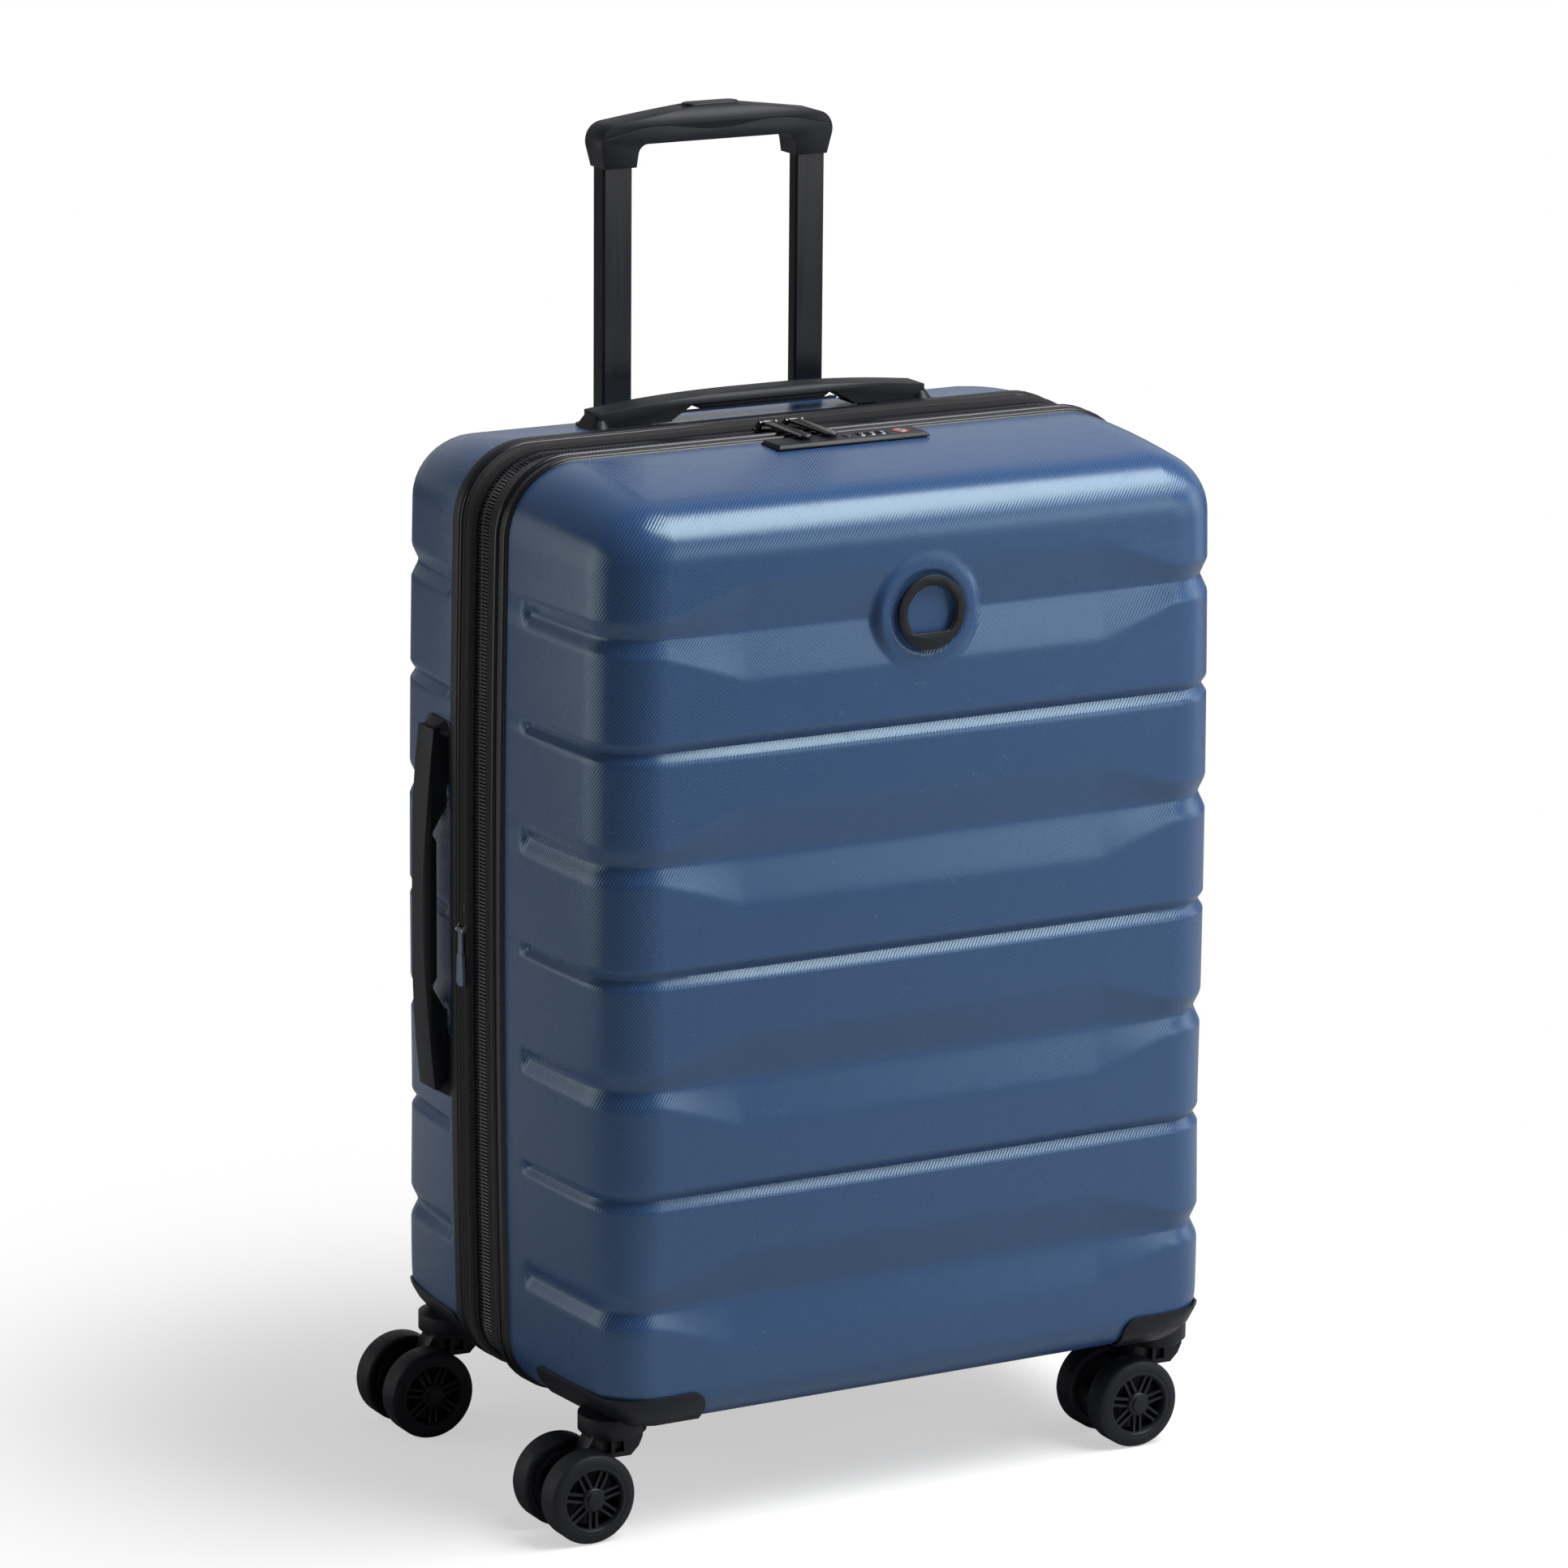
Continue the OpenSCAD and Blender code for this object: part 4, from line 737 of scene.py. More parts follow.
def shell_material(name, c):
    material, tree, shader = new_material(name, Roughness=0.3, Metallic=0.04, IOR=1.56)
    shader.inputs["Specular Tint"].default_value = (0.80, 1.0, 0.95, 1)
    uv = put(tree, "ShaderNodeUVMap", (-1200, 0), uv_map="UVMap").outputs[0]
    place = put(tree, "ShaderNodeTexCoord", (-1200, -300)).outputs["Object"]
    s = sizes()
    ridges = group_node(tree, "ridges", (-900, 0), {"Surface": uv, "Pitch": s.ridge_pitch, "Angle": s.ridge_angle})
    grain = group_node(tree, "grain", (-900, -300), {"Place": place, "Grain Scale": 1300.0, "Drift Scale": 4.0})
    body = blend_colour(tree, grain["Drift"], rgb(c, 0.93), rgb(c, 1.07), (-500, 300))
    # Painted shade: the colour darkens to 0.55 of the shell colour in the valleys of the fine ridges.
    final = blend_colour(tree, ridges["Valley"], body, rgb(c, 0.55), (-250, 300))
    tree.links.new(final, shader.inputs["Base Color"])
    rough = put(tree, "ShaderNodeMapRange", (-300, 0), {0: grain["Rub"], 3: 0.22, 4: 0.29})
    tree.links.new(rough.outputs[0], shader.inputs["Roughness"])
    first = bump(tree, grain["Height"], 0.00005, 0.25, (-500, -400))
    tree.links.new(bump(tree, ridges["Height"], 0.00008, 1.0, (-200, -300), first), shader.inputs["Normal"])
    return material


def plastic_material(name, colour, rough, grain_depth=0.00006, scale=1400.0, shine=0.36):
    material, tree, shader = new_material(name, Roughness=rough, IOR=1.44)
    shader.inputs["Specular IOR Level"].default_value = shine
    place = put(tree, "ShaderNodeTexCoord", (-1100, 0)).outputs["Object"]
    grain = group_node(tree, "grain", (-800, 0), {"Place": place, "Grain Scale": scale, "Drift Scale": 14.0})
    tree.links.new(blend_colour(tree, grain["Drift"], rgb(colour, 0.85), rgb(colour, 1.2)), shader.inputs["Base Color"])
    rough_range = put(tree, "ShaderNodeMapRange", (-300, -50), {0: grain["Rub"], 3: rough, 4: rough + 0.06})
    tree.links.new(rough_range.outputs[0], shader.inputs["Roughness"])
    tree.links.new(bump(tree, grain["Height"], grain_depth), shader.inputs["Normal"])
    return material


def cloth_material(name, colour, thread, depth, rows=None, use_uv=True):
    material, tree, shader = new_material(name, Roughness=0.85, IOR=1.4)
    shader.inputs["Sheen Weight"].default_value = 0.1
    shader.inputs["Sheen Roughness"].default_value = 0.5
    if use_uv:
        place = put(tree, "ShaderNodeUVMap", (-1200, 0), uv_map="UVMap").outputs[0]
    else:
        place = put(tree, "ShaderNodeTexCoord", (-1200, 0)).outputs["Object"]
    weave = group_node(tree, "weave", (-900, 0), {"Surface": place, "Thread": thread})
    # Painted shade between the threads, from 0.45 to 2 times the fabric colour, with random drift in it.
    base = blend_colour(tree, weave["Shade"], rgb(colour, 0.45), rgb(colour, 2.0), (-500, 250))
    normal = bump(tree, weave["Height"], depth, 0.9, (-500, -300))
    if rows:
        stitch = group_node(tree, "stitch", (-900, -350), {"Surface": place, "Row 1": rows[0], "Row 2": rows[1]})
        base = blend_colour(tree, stitch["Mask"], base, rgb(colour, 3.2), (-250, 250))
        normal = bump(tree, stitch["Height"], 0.0008, 1.0, (-250, -300), normal)
    tree.links.new(base, shader.inputs["Base Color"])
    tree.links.new(normal, shader.inputs["Normal"])
    return material


def metal_material(name, colour, rough, stretch=(40.0, 1.0, 1.0), metallic=1.0):
    material, tree, shader = new_material(name, Roughness=rough, Metallic=metallic)
    place = put(tree, "ShaderNodeTexCoord", (-1100, 0)).outputs["Object"]
    lines = group_node(tree, "brushed", (-800, 0), {"Place": place, "Stretch": stretch})
    tree.links.new(blend_colour(tree, lines["Shade"], rgb(colour, 0.8), rgb(colour, 1.15)), shader.inputs["Base Color"])
    rough_range = put(tree, "ShaderNodeMapRange", (-300, -50), {0: lines["Shade"], 3: rough - 0.05, 4: rough + 0.08})
    tree.links.new(rough_range.outputs[0], shader.inputs["Roughness"])
    tree.links.new(bump(tree, lines["Height"], 0.00004, 0.4), shader.inputs["Normal"])
    return material


MATERIALS = {}
# Maker, name, colour (a property, a property and a factor, or red, green and blue), and the maker's own values
FINISHES = {
    "shell": (shell_material, "Ribbed Shell", "shell"),
    "satin": (plastic_material, "Satin Black Plastic", "black", 0.42),
    "handle": (plastic_material, "Grained Black Plastic", "black", 0.5, 0.00012, 800.0),
    "gloss": (plastic_material, "Smooth Black Binding", "black", 0.24, 0.00002, {"shine": 0.5}),
    "wheel": (plastic_material, "Wheel Plastic", ("black", 1.25), 0.46),
    "tyre": (plastic_material, "Tyre", ("black", 1.1), 0.55, 0.00008, 1000.0),
    "tooth": (plastic_material, "Zip Coil", ("black", 1.6), 0.24, 0.00001, {"shine": 0.6}),
    "dial": (plastic_material, "Dial Plastic", ("black", 1.5), 0.4, 0.00001),
    "mark": (plastic_material, "White Mark", (0.7, 0.7, 0.7), 0.5, 0.00001),
    "red": (plastic_material, "Red Mark", (0.45, 0.03, 0.03), 0.4, 0.00001),
    "grey_tab": (plastic_material, "Grey Blue Tab", (0.13, 0.17, 0.23), 0.38, 0.00002),
    "soft_grip": (plastic_material, "Soft Grip", "black", 0.62, 0.00015, 700.0),
    "gusset": (cloth_material, "Gusset Weave", "cloth", 0.0011, 0.00035, {"rows": (0.0035, 0.0165)}),
    "tape": (cloth_material, "Zip Tape Weave", "cloth", 0.0009, 0.0003, {"rows": (0.006, 0.0105)}),
    "webbing": (cloth_material, "Webbing", "cloth", 0.0014, 0.0004, {"use_uv": False}),
    "lining": (cloth_material, "Lining Cloth", "lining", 0.0012, 0.0002),
    "tube": (metal_material, "Black Tube", "black", 0.2, (6.0, 6.0, 0.2), 0.0),
    "nickel": (metal_material, "Pale Nickel", "nickel", 0.26),
    "gunmetal": (metal_material, "Gunmetal", "gunmetal", 0.22),
    "steel": (metal_material, "Plain Steel", (0.5, 0.5, 0.51), 0.3),
}


def finish_of(name):
    """Materials are made once, when a piece first asks for them."""
    if name not in MATERIALS:
        maker, title, colour, *rest = FINISHES[name]
        paint = colour
        if isinstance(colour, tuple) and isinstance(colour[0], str):
            paint = tuple(v * colour[1] for v in getattr(colours(), colour[0]))
        elif isinstance(colour, str):
            paint = getattr(colours(), colour)
        more = rest.pop() if rest and isinstance(rest[-1], dict) else {}
        MATERIALS[name] = maker(title, paint, *rest, **more)
    return MATERIALS[name]


def dress_node(node, finish):
    """Gives a solid that stays its material."""
    obj = NODES[node]
    obj.data.materials.clear()
    obj.data.materials.append(finish_of(finish))


def rounded(node, name, rounding, finish, body, slot):
    """A copy of a solid with rounded edges, dressed and set on its body."""
    finished(copy_of(node, name, *rounding), finish_of(finish), body, slot, node)


# ---- Operators: one for each piece or group of like pieces --------------------------

class SUITCASE_OT_shells(bpy.types.Operator):
    """Moulded front and back shells with soft grooves and fine ridges"""
    bl_idname = "suitcase.shells"
    bl_label = "Moulded Shells"

    def execute(self, context):
        for side, node, body in ((-1, "front_shell", "lid"), (1, "back_shell", "back_half")):
            form = Form(side)
            obj = form.skin(node + "_skin")
            use(obj, "SOLIDIFY", thickness=sizes().wall, offset=-1, use_even_offset=True, use_quality_normals=True)
            self.opening(obj, *(("trolley_cup", -0.001) if side > 0 else ("lock_body", 0.0006)))
            smooth(obj, 50)
            finished(obj, finish_of("shell"), body, "shell", node)
        return {"FINISHED"}

    def opening(self, obj, node, room):
        """Cuts the opening in the top that a sunk piece sits in."""
        at, wide = middle(node), span(node)
        clear_choice()
        bpy.ops.mesh.primitive_cube_add(size=1, location=at, scale=(wide.x + room, wide.y + room, wide.z * 1.6))
        cutter = added("cutter")
        use(cutter, "BEVEL", width=0.004, segments=4, limit_method="ANGLE", angle_limit=1.2)
        use(obj, "BOOLEAN", object=cutter, operation="DIFFERENCE", solver="EXACT")
        bpy.data.objects.remove(cutter)


def round_profile(y, inset, radius, steps):
    """Profile of a round cord, as (y, inset)."""
    return [(y + radius * math.cos(t), inset - radius * math.sin(t)) for t in np.linspace(0, math.tau, steps)[:-1]]


def loop_box(y0, y1, outer, inner, round_=0.0012, steps=3):
    """Profile of a band with rounded outer corners, as (y, inset)."""
    pts = []
    for cy, a0 in ((y0 + round_, 180), (y1 - round_, 90)):
        for i in range(steps + 1):
            a = math.radians(a0 - 90 * i / steps)
            pts.append((cy + round_ * math.cos(a), outer + round_ - round_ * math.sin(a)))
    mid = [(y0 + (y1 - y0) * t, outer) for t in (0.33, 0.66)]
    pts = pts[:steps + 1] + mid + pts[steps + 1:]
    return pts + [(y1, inner), (y0, inner)]


class SUITCASE_OT_band(bpy.types.Operator):
    """Edge strip, expansion gusset, zip tapes and binding; the hinge fabric is made with the zip teeth"""
    bl_idname = "suitcase.band"
    bl_label = "Zip Band"

    def execute(self, context):
        stations = outline_stations()
        out = -BAND_OUT
        lo, hi = low("back_edge").y, high("back_edge").y
        edge = loop_box(lo, hi, out, 0.0030, 0.0016)
        obj = band_ring("back_edge_strip", edge, stations)
        finished(obj, finish_of("satin"), "back_half", "plastic", "back_edge")
        bead = round_profile(lo - 0.0006, 0.0004, 0.0017, 11)
        obj = band_ring("back_piping", bead, stations)
        finished(obj, finish_of("gloss"), "back_half", "plastic")
        self.gusset(stations)
        self.tapes(stations)
        lo, hi = low("front_binding").y, high("front_binding").y
        b = band().bead
        ring = loop_box(lo, hi, out + 0.0006, 0.0030, 0.0016)
        obj = band_ring("front_binding_strip", ring, stations)
        finished(obj, finish_of("gloss"), "lid", "binding", "front_binding")
        for name, y, radius in (("front_bead", hi - 0.0050, b), ("front_welt", lo + 0.0028, b * 0.8)):
            ring = round_profile(y, out + 0.0010, radius, 13)
            obj = band_ring(name, ring, stations)
            finished(obj, finish_of("gloss"), "lid", "binding")
        return {"FINISHED"}

    def gusset(self, stations):
        lo, hi = low("gusset").y, high("gusset").y
        bulge = band().gusset_bulge
        ts = np.linspace(0, 1, 15)

        def lift(station, y):
            t = (y - lo) / (hi - lo)
            kind = station[0]
            more = 1.0
            if kind == "top":
                more = 1.0 + 0.7 * math.exp(-((station[1] - 0.07) / 0.10) ** 2)
            if kind == "bottom":
                more = 0.6
            fold = 0.35 * math.exp(-((t - 0.5) / 0.13) ** 2)
            return bulge * more * (math.sin(math.pi * min(max(t, 0), 1)) ** 0.8 - fold)

        front = [(lo + (hi - lo) * t, 0.0016) for t in ts]
        back = [(hi, 0.0036), (lo, 0.0036)]
        obj = band_ring("gusset_fabric", front + back, stations, shift=lift)
        finished(obj, finish_of("gusset"), "back_half", "fabric", "gusset", "expansion_coil")

    def tapes(self, stations):
        lo, hi = low("front_tape").y, high("front_tape").y
        ring = [(lo, 0.0008), (lo + 0.002, 0.0012), (lo + 0.006, 0.0016), (lo + 0.010, 0.0018),
                (hi, 0.0020), (hi, 0.0036), (lo, 0.0036)]
        obj = band_ring("front_tape_fabric", ring, stations)
        finished(obj, finish_of("tape"), "lid", "fabric", "front_tape")


class SUITCASE_OT_teeth(bpy.types.Operator):
    """Rows of zip loops on both sides of the parting line, and the fabric on the hinge side"""
    bl_idname = "suitcase.teeth"
    bl_label = "Zip Teeth"

    def execute(self, context):
        stations = outline_stations(0.002)
        pts = np.array([outline_point(s, 0.0) for s in stations])
        gaps = np.linalg.norm(np.diff(np.vstack([pts, pts[:1]]), axis=0), axis=1)
        along = np.concatenate([[0], np.cumsum(gaps)])
        ring = np.vstack([pts, pts[:1]])
        b = band()
        parting = high("front_coil").y / 2 + low("back_coil").y / 2
        hinge_lo, hinge_hi = low("hinge_tape").z, high("hinge_tape").z
        for node, body, dir_ in (("front_coil", "lid", -1), ("back_coil", "back_half", 1)):
            offset = 0.0 if dir_ > 0 else b.tooth_pitch / 2
            where = np.arange(offset, along[-1], b.tooth_pitch)
            x = np.interp(where, along, ring[:, 0])
            z = np.interp(where, along, ring[:, 1])
            x2 = np.interp(where + 0.0005, along, ring[:, 0], period=along[-1])
            z2 = np.interp(where + 0.0005, along, ring[:, 1], period=along[-1])
            keep = ~((x > 0) & (z > hinge_lo) & (z < hinge_hi))
            tangent = np.stack([x2 - x, np.zeros_like(x), z2 - z], 1)
            tangent /= np.linalg.norm(tangent, axis=1)[:, None]
            normal = np.stack([tangent[:, 2], np.zeros_like(x), -tangent[:, 0]], 1)
            normal *= np.sign((normal * np.stack([x, 0 * x, z - MID_Z], 1)).sum(1))[:, None]
            tooth = self.one_tooth(b.tooth_wide, dir_)
            shape = points(tooth)
            base = np.stack([x, np.full_like(x, parting), z], 1)
            upright = shape[:, 1:2] * np.array([0, 1, 0])
            every = [base[i] + shape[:, :1] * tangent[i] + upright + shape[:, 2:3] * normal[i]
                     for i in range(len(x)) if keep[i]]
            obj = self.spread(tooth, every, node + "_teeth")
            finished(obj, finish_of("tooth"), body, "zip", node)
        self.hinge_fabric(stations)
        return {"FINISHED"}

    def one_tooth(self, wide, dir_):
        """One loop: a short rod with a rounded head that reaches over the parting line."""
        clear_choice()
        bpy.ops.mesh.primitive_cylinder_add(vertices=6, radius=wide / 2, depth=0.0085, end_fill_type="NGON",
                                            location=(0, dir_ * 0.0031, -0.0022), rotation=(math.pi / 2, 0, 0))
        obj = added("tooth")
        edit(obj)
        bpy.ops.mesh.bisect(plane_co=(0, 0, 0), plane_no=(0, 1, 0))
        done()
        co = points(obj)
        inner = dir_ * co[:, 1] < 0.0001
        co[inner, 0] *= 1.25
        co[~inner, 2] -= 0.0006
        set_points(obj, co)
        return obj

    def spread(self, tooth, every, name):
        """Copies one tooth to every place as a single mesh."""
        count = len(every)
        source = tooth.data
        size = len(source.vertices)
        mesh = bpy.data.meshes.new(name)
        faces = [tuple(v + size * i for v in p.vertices) for i in range(count) for p in source.polygons]
        mesh.from_pydata(np.concatenate(every).tolist(), [], faces)
        obj = bpy.data.objects.new(name, mesh)
        bpy.context.scene.collection.objects.link(obj)
        bpy.data.objects.remove(tooth)
        outward(obj, weld=False)
        return smooth(obj, 40)

    def hinge_fabric(self, stations):
        """Fabric that joins the halves on the hinge side."""
        lo = low("front_coil").y
        hi = high("back_coil").y
        z0, z1 = low("hinge_tape").z - 0.002, high("hinge_tape").z + 0.002
        wanted = [s for s in stations if s[0] == "right" and z0 < s[1] < z1][::3]
        clear_choice()
        bpy.ops.mesh.primitive_grid_add(x_subdivisions=len(wanted) - 1, y_subdivisions=14, size=1)
        obj = added("hinge_fabric")
        start = points(obj)
        n = len(wanted)
        i = np.rint((start[:, 0] + 0.5) * (n - 1)).astype(int)
        j = np.rint((start[:, 1] + 0.5) * 14).astype(int)
        co = np.zeros((len(start), 3))
        for v in range(len(start)):
            y = lo + (hi - lo) * j[v] / 14
            x, z = outline_point(wanted[i[v]], 0.0012 - 0.0016 * math.sin(math.pi * j[v] / 14))
            co[v] = (x, y, z)
        set_points(obj, co)
        k = corner_map(obj)
        write_uv(obj, np.stack([co[k][:, 2], co[k][:, 1] - lo], 1))
        if obj.data.polygons[0].normal.x < 0:
            flip(obj)
        use(obj, "SOLIDIFY", thickness=0.0012, offset=-1)
        smooth(obj, 40)
        obj.data.materials.append(finish_of("tape"))
        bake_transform(obj)
        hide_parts("hinge_tape")


class SUITCASE_OT_linings(bpy.types.Operator):
    """Sagging cloth linings of both halves and the packing straps"""
    bl_idname = "suitcase.linings"
    bl_label = "Linings and Straps"

    def execute(self, context):
        for side, node, body in ((-1, "front_lining", "lid"), (1, "back_lining", "back_half")):
            form = Form(side)
            lo, hi = low(node).y, high(node).y
            form.rim = hi if side < 0 else lo
            form.depth = (hi - lo) + 0.0093
            form.cut = lambda z, q, run: np.zeros_like(q)
            obj = form.skin(node + "_cloth", off=LINING_IN, fine=False)
            use(obj, "SUBSURF", levels=1, render_levels=1, subdivision_type="SIMPLE")
            co = points(obj)
            x, z = co[:, 0], co[:, 2]
            wave = np.sin(x * 31 + 2.1 * np.sin(z * 17)) * np.sin(z * 23 + 1.7 * np.sin(x * 13))
            depth = np.clip(np.abs(co[:, 1] - form.rim) / 0.03, 0, 1)
            co[:, 1] += (1 if side < 0 else -1) * 0.0012 * (1 + wave) * depth
            co[:, 0] *= 1 - 0.004 * (1 + np.sin(co[:, 2] * 41)) * depth * 0.3
            self.lift_over_housings(co, "front_corner_guards" if side < 0 else "rear_corner_guards")
            set_points(obj, co)
            use(obj, "SOLIDIFY", thickness=0.0009, offset=-1)
            smooth(obj, 60)
            finished(obj, finish_of("lining"), body, "lining", node)
        rounded("packing_straps", "strap_webbing", (0.0005, 2), "webbing", "back_half", "webbing")
        rounded("strap_buckle", "strap_clip", (0.0012, 3), "satin", "back_half", "plastic")
        return {"FINISHED"}

    def lift_over_housings(self, co, guards):
        """Lets the cloth bulge over the caster housings in the lower corners."""
        top = high(guards).z + 0.003
        for joint in frame["joints"]:
            if joint["name"].endswith("swivel"):
                x, y = joint["pos_m"][:2]
                t = np.clip((0.038 - np.hypot(co[:, 0] - x, co[:, 1] - y)) / 0.016, 0, 1)
                co[:, 2] += np.clip(top - co[:, 2], 0, None) * t * t * (3 - 2 * t)


class SUITCASE_OT_handles(bpy.types.Operator):
    """Top and side carry handles with rounded covers, feet and soft inserts"""
    bl_idname = "suitcase.handles"
    bl_label = "Carry Handles"

    def execute(self, context):
        for where in ("top", "side"):
            node = where + "_handle"
            rounded(node, node + "_cover", (0.0016, 4, 25), "handle", node, "plastic")
            rounded(node + "_grip", node + "_insert", (0.0016, 3, 25), "soft_grip", node, "soft_grip")
            rounded(node + "_feet", node + "_mounts", (0.0006, 2, 30), "satin", "back_half", "plastic")
        return {"FINISHED"}


class SUITCASE_OT_trolley(bpy.types.Operator):
    """Trolley tubes, grip, button and parking cup"""
    bl_idname = "suitcase.trolley"
    bl_label = "Trolley"

    def execute(self, context):
        for node in ("outer_tubes", "middle_tubes", "inner_tubes"):
            dress_node(node, "tube")
        for node in ("tube_bracket", "trolley_cup"):
            dress_node(node, "satin")
        for node, finish in (("grip_base", "satin"), ("grip_cover", "handle"), ("release_button", "satin")):
            body = "release_button" if node == "release_button" else "inner_stage"
            rounded(node, node + "_form", (0.0007, 2, 30), finish, body, "plastic")
        return {"FINISHED"}


class SUITCASE_OT_casters(bpy.types.Operator):
    """Corner guards, forks, axles, wheels and tyres"""
    bl_idname = "suitcase.casters"
    bl_label = "Casters"

    def execute(self, context):
        for node, body in (("rear_corner_guards", "back_half"), ("front_corner_guards", "lid")):
            rounded(node, node + "_form", (0.0007, 2, 35), "satin", body, "plastic")
        for corner in ("front_left", "front_right", "rear_left", "rear_right"):
            rounded(corner + "_fork", corner + "_fork_form", (0.0006, 2, 35), "wheel", corner + "_caster", "caster")
            rounded(corner + "_wheels", corner + "_wheel_form", (0.0004, 2, 35), "wheel", corner + "_wheelset", "wheel")
            rounded(corner + "_tyres", corner + "_tyre_form", (0.0005, 2, 35), "tyre", corner + "_wheelset", "tyre")
            dress_node(corner + "_axle", "steel")
        return {"FINISHED"}


class SUITCASE_OT_hardware(bpy.types.Operator):
    """Lock, dials, badge ring, sliders and pull tabs"""
    bl_idname = "suitcase.hardware"
    bl_label = "Hardware"

    def execute(self, context):
        for node, finish, body, slot, width in (
                ("lock_plate", "satin", "lid", "plastic", 0.0006),
                ("lock_body", "satin", "lid", "plastic", 0.0004),
                ("lock_button", "gloss", "lock_button", "plastic", 0.0006),
                ("badge_ring", "satin", "lid", "plastic", 0.0005),
                ("dial_1", "dial", "dial_1", "dial", 0.0003), ("dial_2", "dial", "dial_2", "dial", 0.0003),
                ("dial_3", "dial", "dial_3", "dial", 0.0003),
                ("key_cylinder", "steel", "key_cylinder", "key", 0.0004),
                ("left_slider", "gunmetal", "left_slider", "slider", 0.0004),
                ("right_slider", "gunmetal", "right_slider", "slider", 0.0004),
                ("left_tab", "gunmetal", "left_tab", "slider", 0.0004),
                ("right_tab", "gunmetal", "right_tab", "slider", 0.0004),
                ("expansion_slider", "nickel", "expansion_slider", "expansion_slider", 0.0004),
                ("expansion_tab", "grey_tab", "expansion_tab", "expansion_tab", 0.0005)):
            rounded(node, node + "_form", (width, 2, 30), finish, body, slot)
        for node in ("dial_1", "dial_2", "dial_3"):
            self.numerals(node)
        self.key_ring()
        return {"FINISHED"}

    def numerals(self, node):
        """Ten raised digits around a dial."""
        made = []
        at, radius = middle(node), span(node).z / 2
        for digit in range(10):
            clear_choice()
            bpy.ops.object.text_add()
            text = bpy.context.object
            text.data.body = str(digit)
            text.data.size = 0.0046
            text.data.resolution_u = 3
            text.data.align_x, text.data.align_y = "CENTER", "CENTER"
            text.data.extrude = 0.00004
            bpy.ops.object.convert(target="MESH")
            obj = added(node + "_digit")
            edit(obj)
            bpy.ops.mesh.subdivide(number_cuts=2)
            done()
            x, y, z = points(obj).T
            turn = y / radius + math.radians(36 * digit)
            reach = radius + 0.00002 + z
            set_points(obj, np.stack([at.x + x, at.y + reach * np.sin(turn), at.z + reach * np.cos(turn)], 1))
            made.append(obj)
        clear_choice()
        for obj in made:
            obj.select_set(True)
        bpy.ops.object.join()
        digits = outward(bpy.context.object)
        digits.name = digits.data.name = node + "_digits"
        finished(digits, finish_of("mark"), node, "dial")

    def key_ring(self):
        """Red ring around the key hole."""
        key, top = middle("key_cylinder"), high("lock_plate").z
        clear_choice()
        bpy.ops.mesh.primitive_torus_add(location=(key.x, key.y, top), major_radius=span("key_cylinder").x / 2 + 0.0007,
                                         minor_radius=0.0004, major_segments=32, minor_segments=6)
        finished(smooth(added("key_ring")), finish_of("red"), "lid", "plastic")


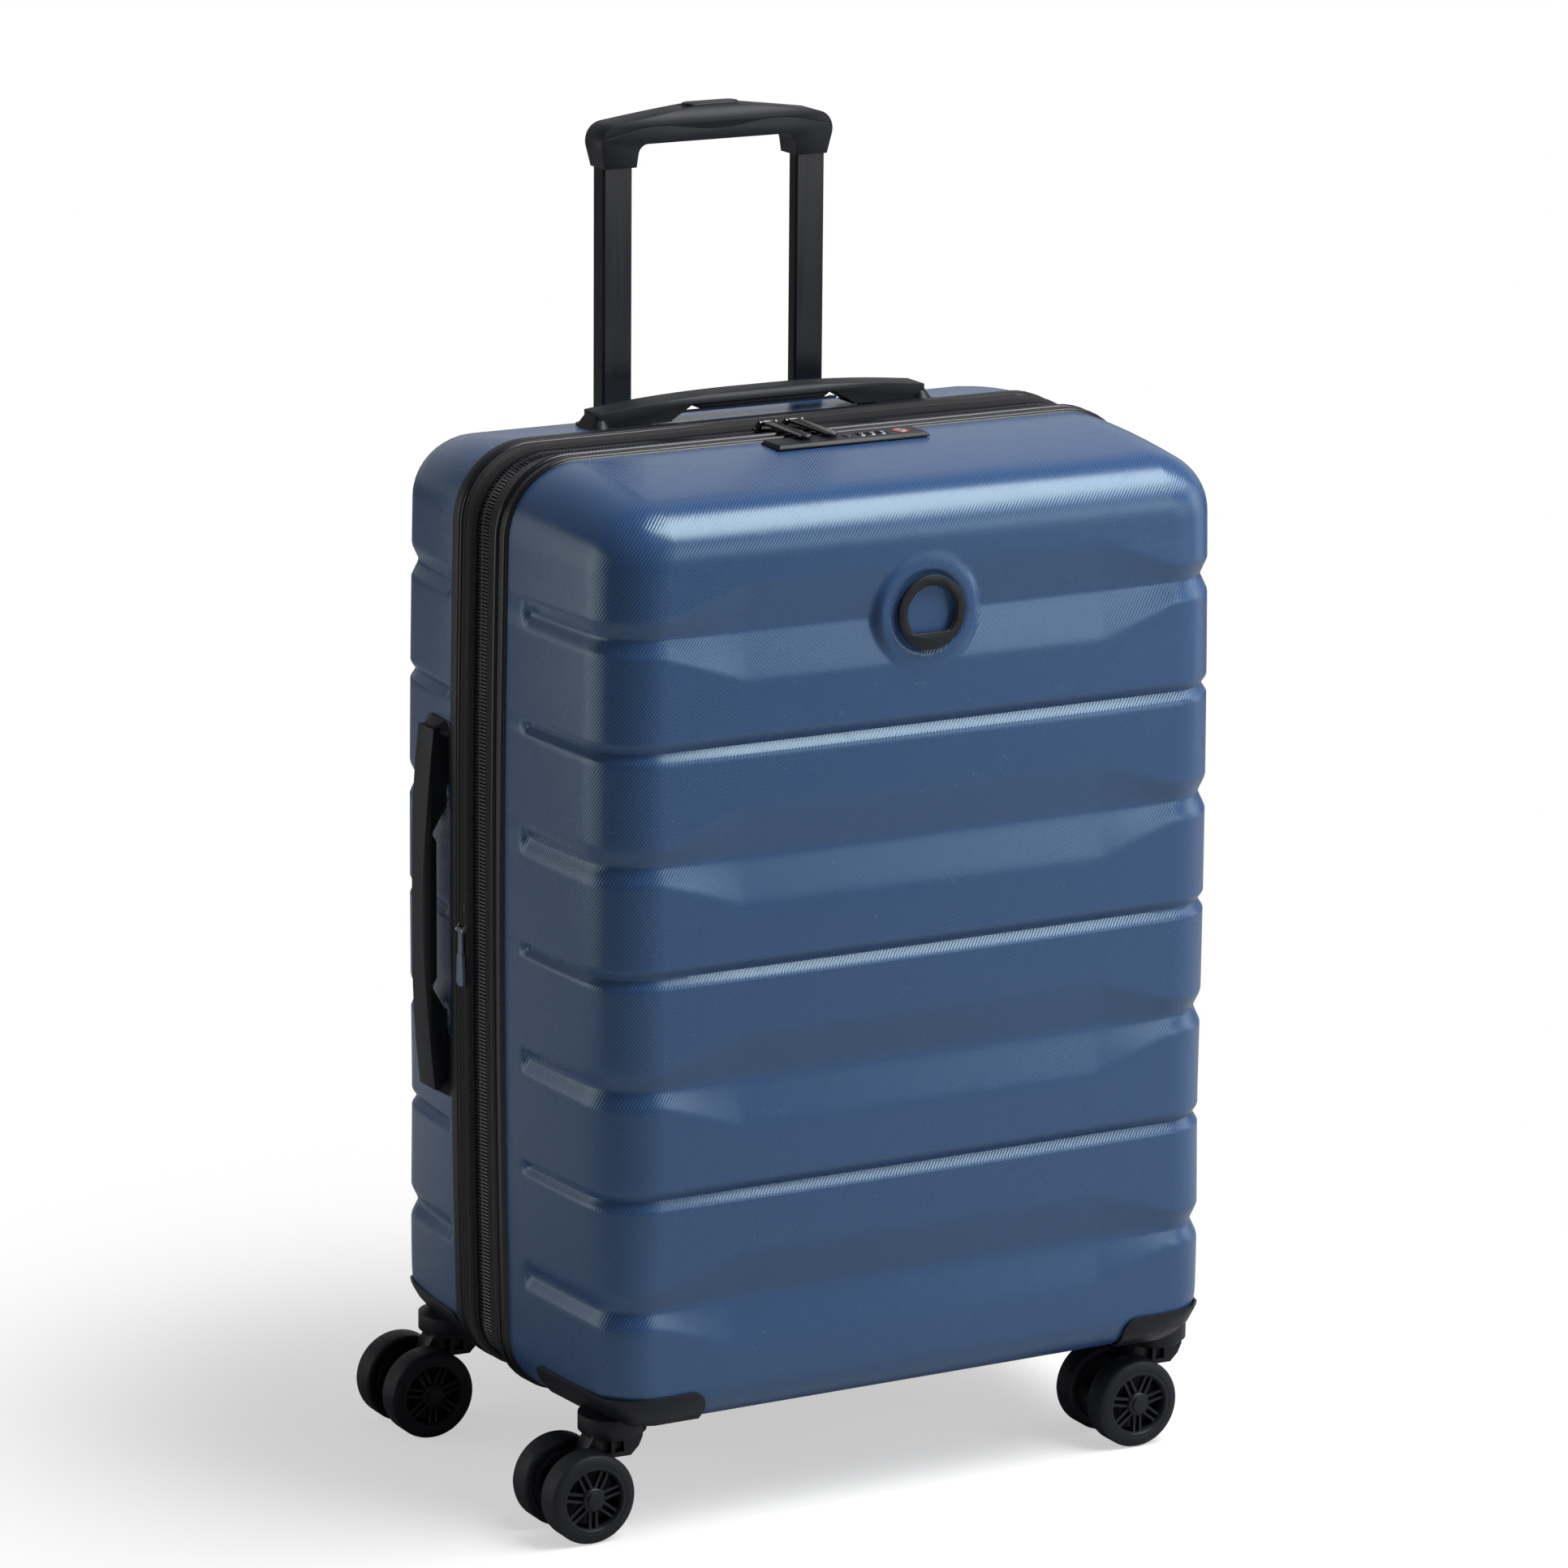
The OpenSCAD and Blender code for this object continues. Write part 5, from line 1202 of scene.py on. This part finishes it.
class SUITCASE_OT_stage(bpy.types.Operator):
    """Pale floor, soft studio lights and the camera"""
    bl_idname = "suitcase.stage"
    bl_label = "Stage"

    def execute(self, context):
        scene = context.scene
        scene.view_settings.view_transform = "Standard"
        s = scene.suitcase_stage
        self.world(scene, s.room_light)
        self.floor()
        self.lamp("top_light", (0.95, -0.85, 2.45), (0, 0, 0.5), (1.6, 1.9), s.top_power)
        self.lamp("front_light", (1.40, -2.15, 0.95), (0, 0, 0.4), (1.2, 1.0), s.front_power)
        self.lamp("side_light", (2.50, -0.60, 0.90), (0, 0, 0.35), (1.3, 1.5), s.side_power)
        self.lamp("left_light", (-1.95, 1.10, 0.55), (0, 0, 0.40), (1.8, 1.5), s.left_power)
        data = bpy.data.cameras.new("camera")
        data.sensor_width = 36.0
        data.lens = s.lens
        data.clip_end = 60.0
        camera = bpy.data.objects.new("camera", data)
        scene.collection.objects.link(camera)
        camera.location = (-2.1981, -3.9385, 1.5576)
        camera.rotation_euler = (1.3273887, -0.0078612, -0.5038478)
        scene.camera = camera
        return {"FINISHED"}

    def world(self, scene, strength):
        world = bpy.data.worlds.new("studio")
        scene.world = world
        world.use_nodes = True
        tree = world.node_tree
        tree.nodes.clear()
        path = put(tree, "ShaderNodeLightPath", (-900, 0))
        way = put(tree, "ShaderNodeTexCoord", (-1300, -300)).outputs["Generated"]
        facing = put(tree, "ShaderNodeVectorMath", (-1100, -300), {0: way, 1: BACKDROP_WAY},
                     operation="DOT_PRODUCT").outputs["Value"]
        behind = put(tree, "ShaderNodeMapRange", (-900, -300), {0: facing, 1: 0.55, 2: 0.95},
                     interpolation_type="SMOOTHSTEP")
        mirrored = maths(tree, "MULTIPLY", path.outputs["Is Glossy Ray"], behind.outputs[0], (-700, -200))
        mirrored = maths(tree, "MULTIPLY", mirrored, 0.5, (-700, -400))
        seen = maths(tree, "MAXIMUM", path.outputs["Is Camera Ray"], path.outputs["Is Transmission Ray"], (-600, 0))
        seen = maths(tree, "MAXIMUM", seen, mirrored, (-400, 0))
        level = put(tree, "ShaderNodeMapRange", (-200, 0), {0: seen, 3: strength, 4: 1.0})
        back = put(tree, "ShaderNodeBackground", (0, 0), {0: (1, 1, 1, 1), 1: level.outputs[0]})
        out = put(tree, "ShaderNodeOutputWorld", (200, 0))
        tree.links.new(back.outputs[0], out.inputs[0])

    def floor(self):
        clear_choice()
        bpy.ops.mesh.primitive_plane_add(size=30)
        obj = added("floor")
        material = bpy.data.materials.new("Pale Floor")
        material.use_nodes = True
        tree = material.node_tree
        shader = tree.nodes["Principled BSDF"]
        shader.inputs["Base Color"].default_value = (0.50, 0.50, 0.50, 1)
        shader.inputs["Roughness"].default_value = 0.9
        shader.inputs["Specular IOR Level"].default_value = 0.1
        path = put(tree, "ShaderNodeLightPath", (-900, 0))
        seen = path.outputs["Is Camera Ray"]
        glow = put(tree, "ShaderNodeEmission", (-200, -200), {0: (1, 1, 1, 1)})
        tree.links.new(maths(tree, "MULTIPLY", seen, 0.53, (-350, -200)), glow.inputs[1])
        both = put(tree, "ShaderNodeAddShader", (200, 0))
        tree.links.new(shader.outputs[0], both.inputs[0])
        tree.links.new(glow.outputs[0], both.inputs[1])
        place = put(tree, "ShaderNodeTexCoord", (-1100, -400)).outputs["Object"]
        away = put(tree, "ShaderNodeVectorMath", (-900, -400), {0: place}, operation="LENGTH").outputs["Value"]
        far = put(tree, "ShaderNodeMapRange", (-700, -400), {0: away, 1: 0.34, 2: 0.75},
                  interpolation_type="SMOOTHSTEP")
        white = put(tree, "ShaderNodeEmission", (0, -400), {0: (1, 1, 1, 1), 1: 1.0})
        share = maths(tree, "MULTIPLY", far.outputs[0], seen, (-500, -400))
        whole = put(tree, "ShaderNodeMixShader", (400, 0), {0: share})
        tree.links.new(both.outputs[0], whole.inputs[1])
        tree.links.new(white.outputs[0], whole.inputs[2])
        tree.links.new(whole.outputs[0], tree.nodes["Material Output"].inputs[0])
        obj.data.materials.append(material)

    def lamp(self, name, place, aim, size, power):
        data = bpy.data.lights.new(name, "AREA")
        data.shape = "RECTANGLE"
        data.size, data.size_y = size
        data.energy = power
        lamp = bpy.data.objects.new(name, data)
        bpy.context.scene.collection.objects.link(lamp)
        lamp.location = place
        lamp.rotation_euler = (Vector(aim) - Vector(place)).to_track_quat("-Z", "Y").to_euler()


class SUITCASE_PT_panel(bpy.types.Panel):
    """Lists the pieces of the suitcase and the sizes behind them"""
    bl_idname = "SUITCASE_PT_panel"
    bl_label = "Suitcase"
    bl_space_type = "VIEW_3D"
    bl_region_type = "UI"
    bl_category = "Suitcase"

    def draw(self, context):
        for operator in PIECES:
            self.layout.operator(operator.bl_idname)
        for group in (getattr(context.scene, name) for name in SETTINGS):
            for name in group.bl_rna.properties.keys():
                if name not in ("rna_type", "name"):
                    self.layout.prop(group, name)


PIECES = (SUITCASE_OT_shells, SUITCASE_OT_band, SUITCASE_OT_teeth, SUITCASE_OT_linings, SUITCASE_OT_handles,
          SUITCASE_OT_trolley, SUITCASE_OT_casters, SUITCASE_OT_hardware, SUITCASE_OT_stage)
SETTINGS = {"suitcase_shell": ShellSizes, "suitcase_band": BandSizes,
            "suitcase_colours": Colours, "suitcase_stage": StageSizes}
CLASSES = tuple(SETTINGS.values()) + PIECES + (SUITCASE_PT_panel,)


def register():
    for item in CLASSES:
        bpy.utils.register_class(item)
    for name, group in SETTINGS.items():
        setattr(bpy.types.Scene, name, PointerProperty(type=group))


def unregister():
    for name in SETTINGS:
        delattr(bpy.types.Scene, name)
    for item in reversed(CLASSES):
        bpy.utils.unregister_class(item)


def plain(bounds):
    return [[float(v) for v in corner] for corner in bounds]


def main():
    register()
    bpy.ops.suitcase.shells()
    bpy.ops.suitcase.band()
    bpy.ops.suitcase.teeth()
    bpy.ops.suitcase.linings()
    bpy.ops.suitcase.handles()
    bpy.ops.suitcase.trolley()
    bpy.ops.suitcase.casters()
    bpy.ops.suitcase.hardware()
    bpy.ops.suitcase.stage()


if __name__ == "__main__":
    main()
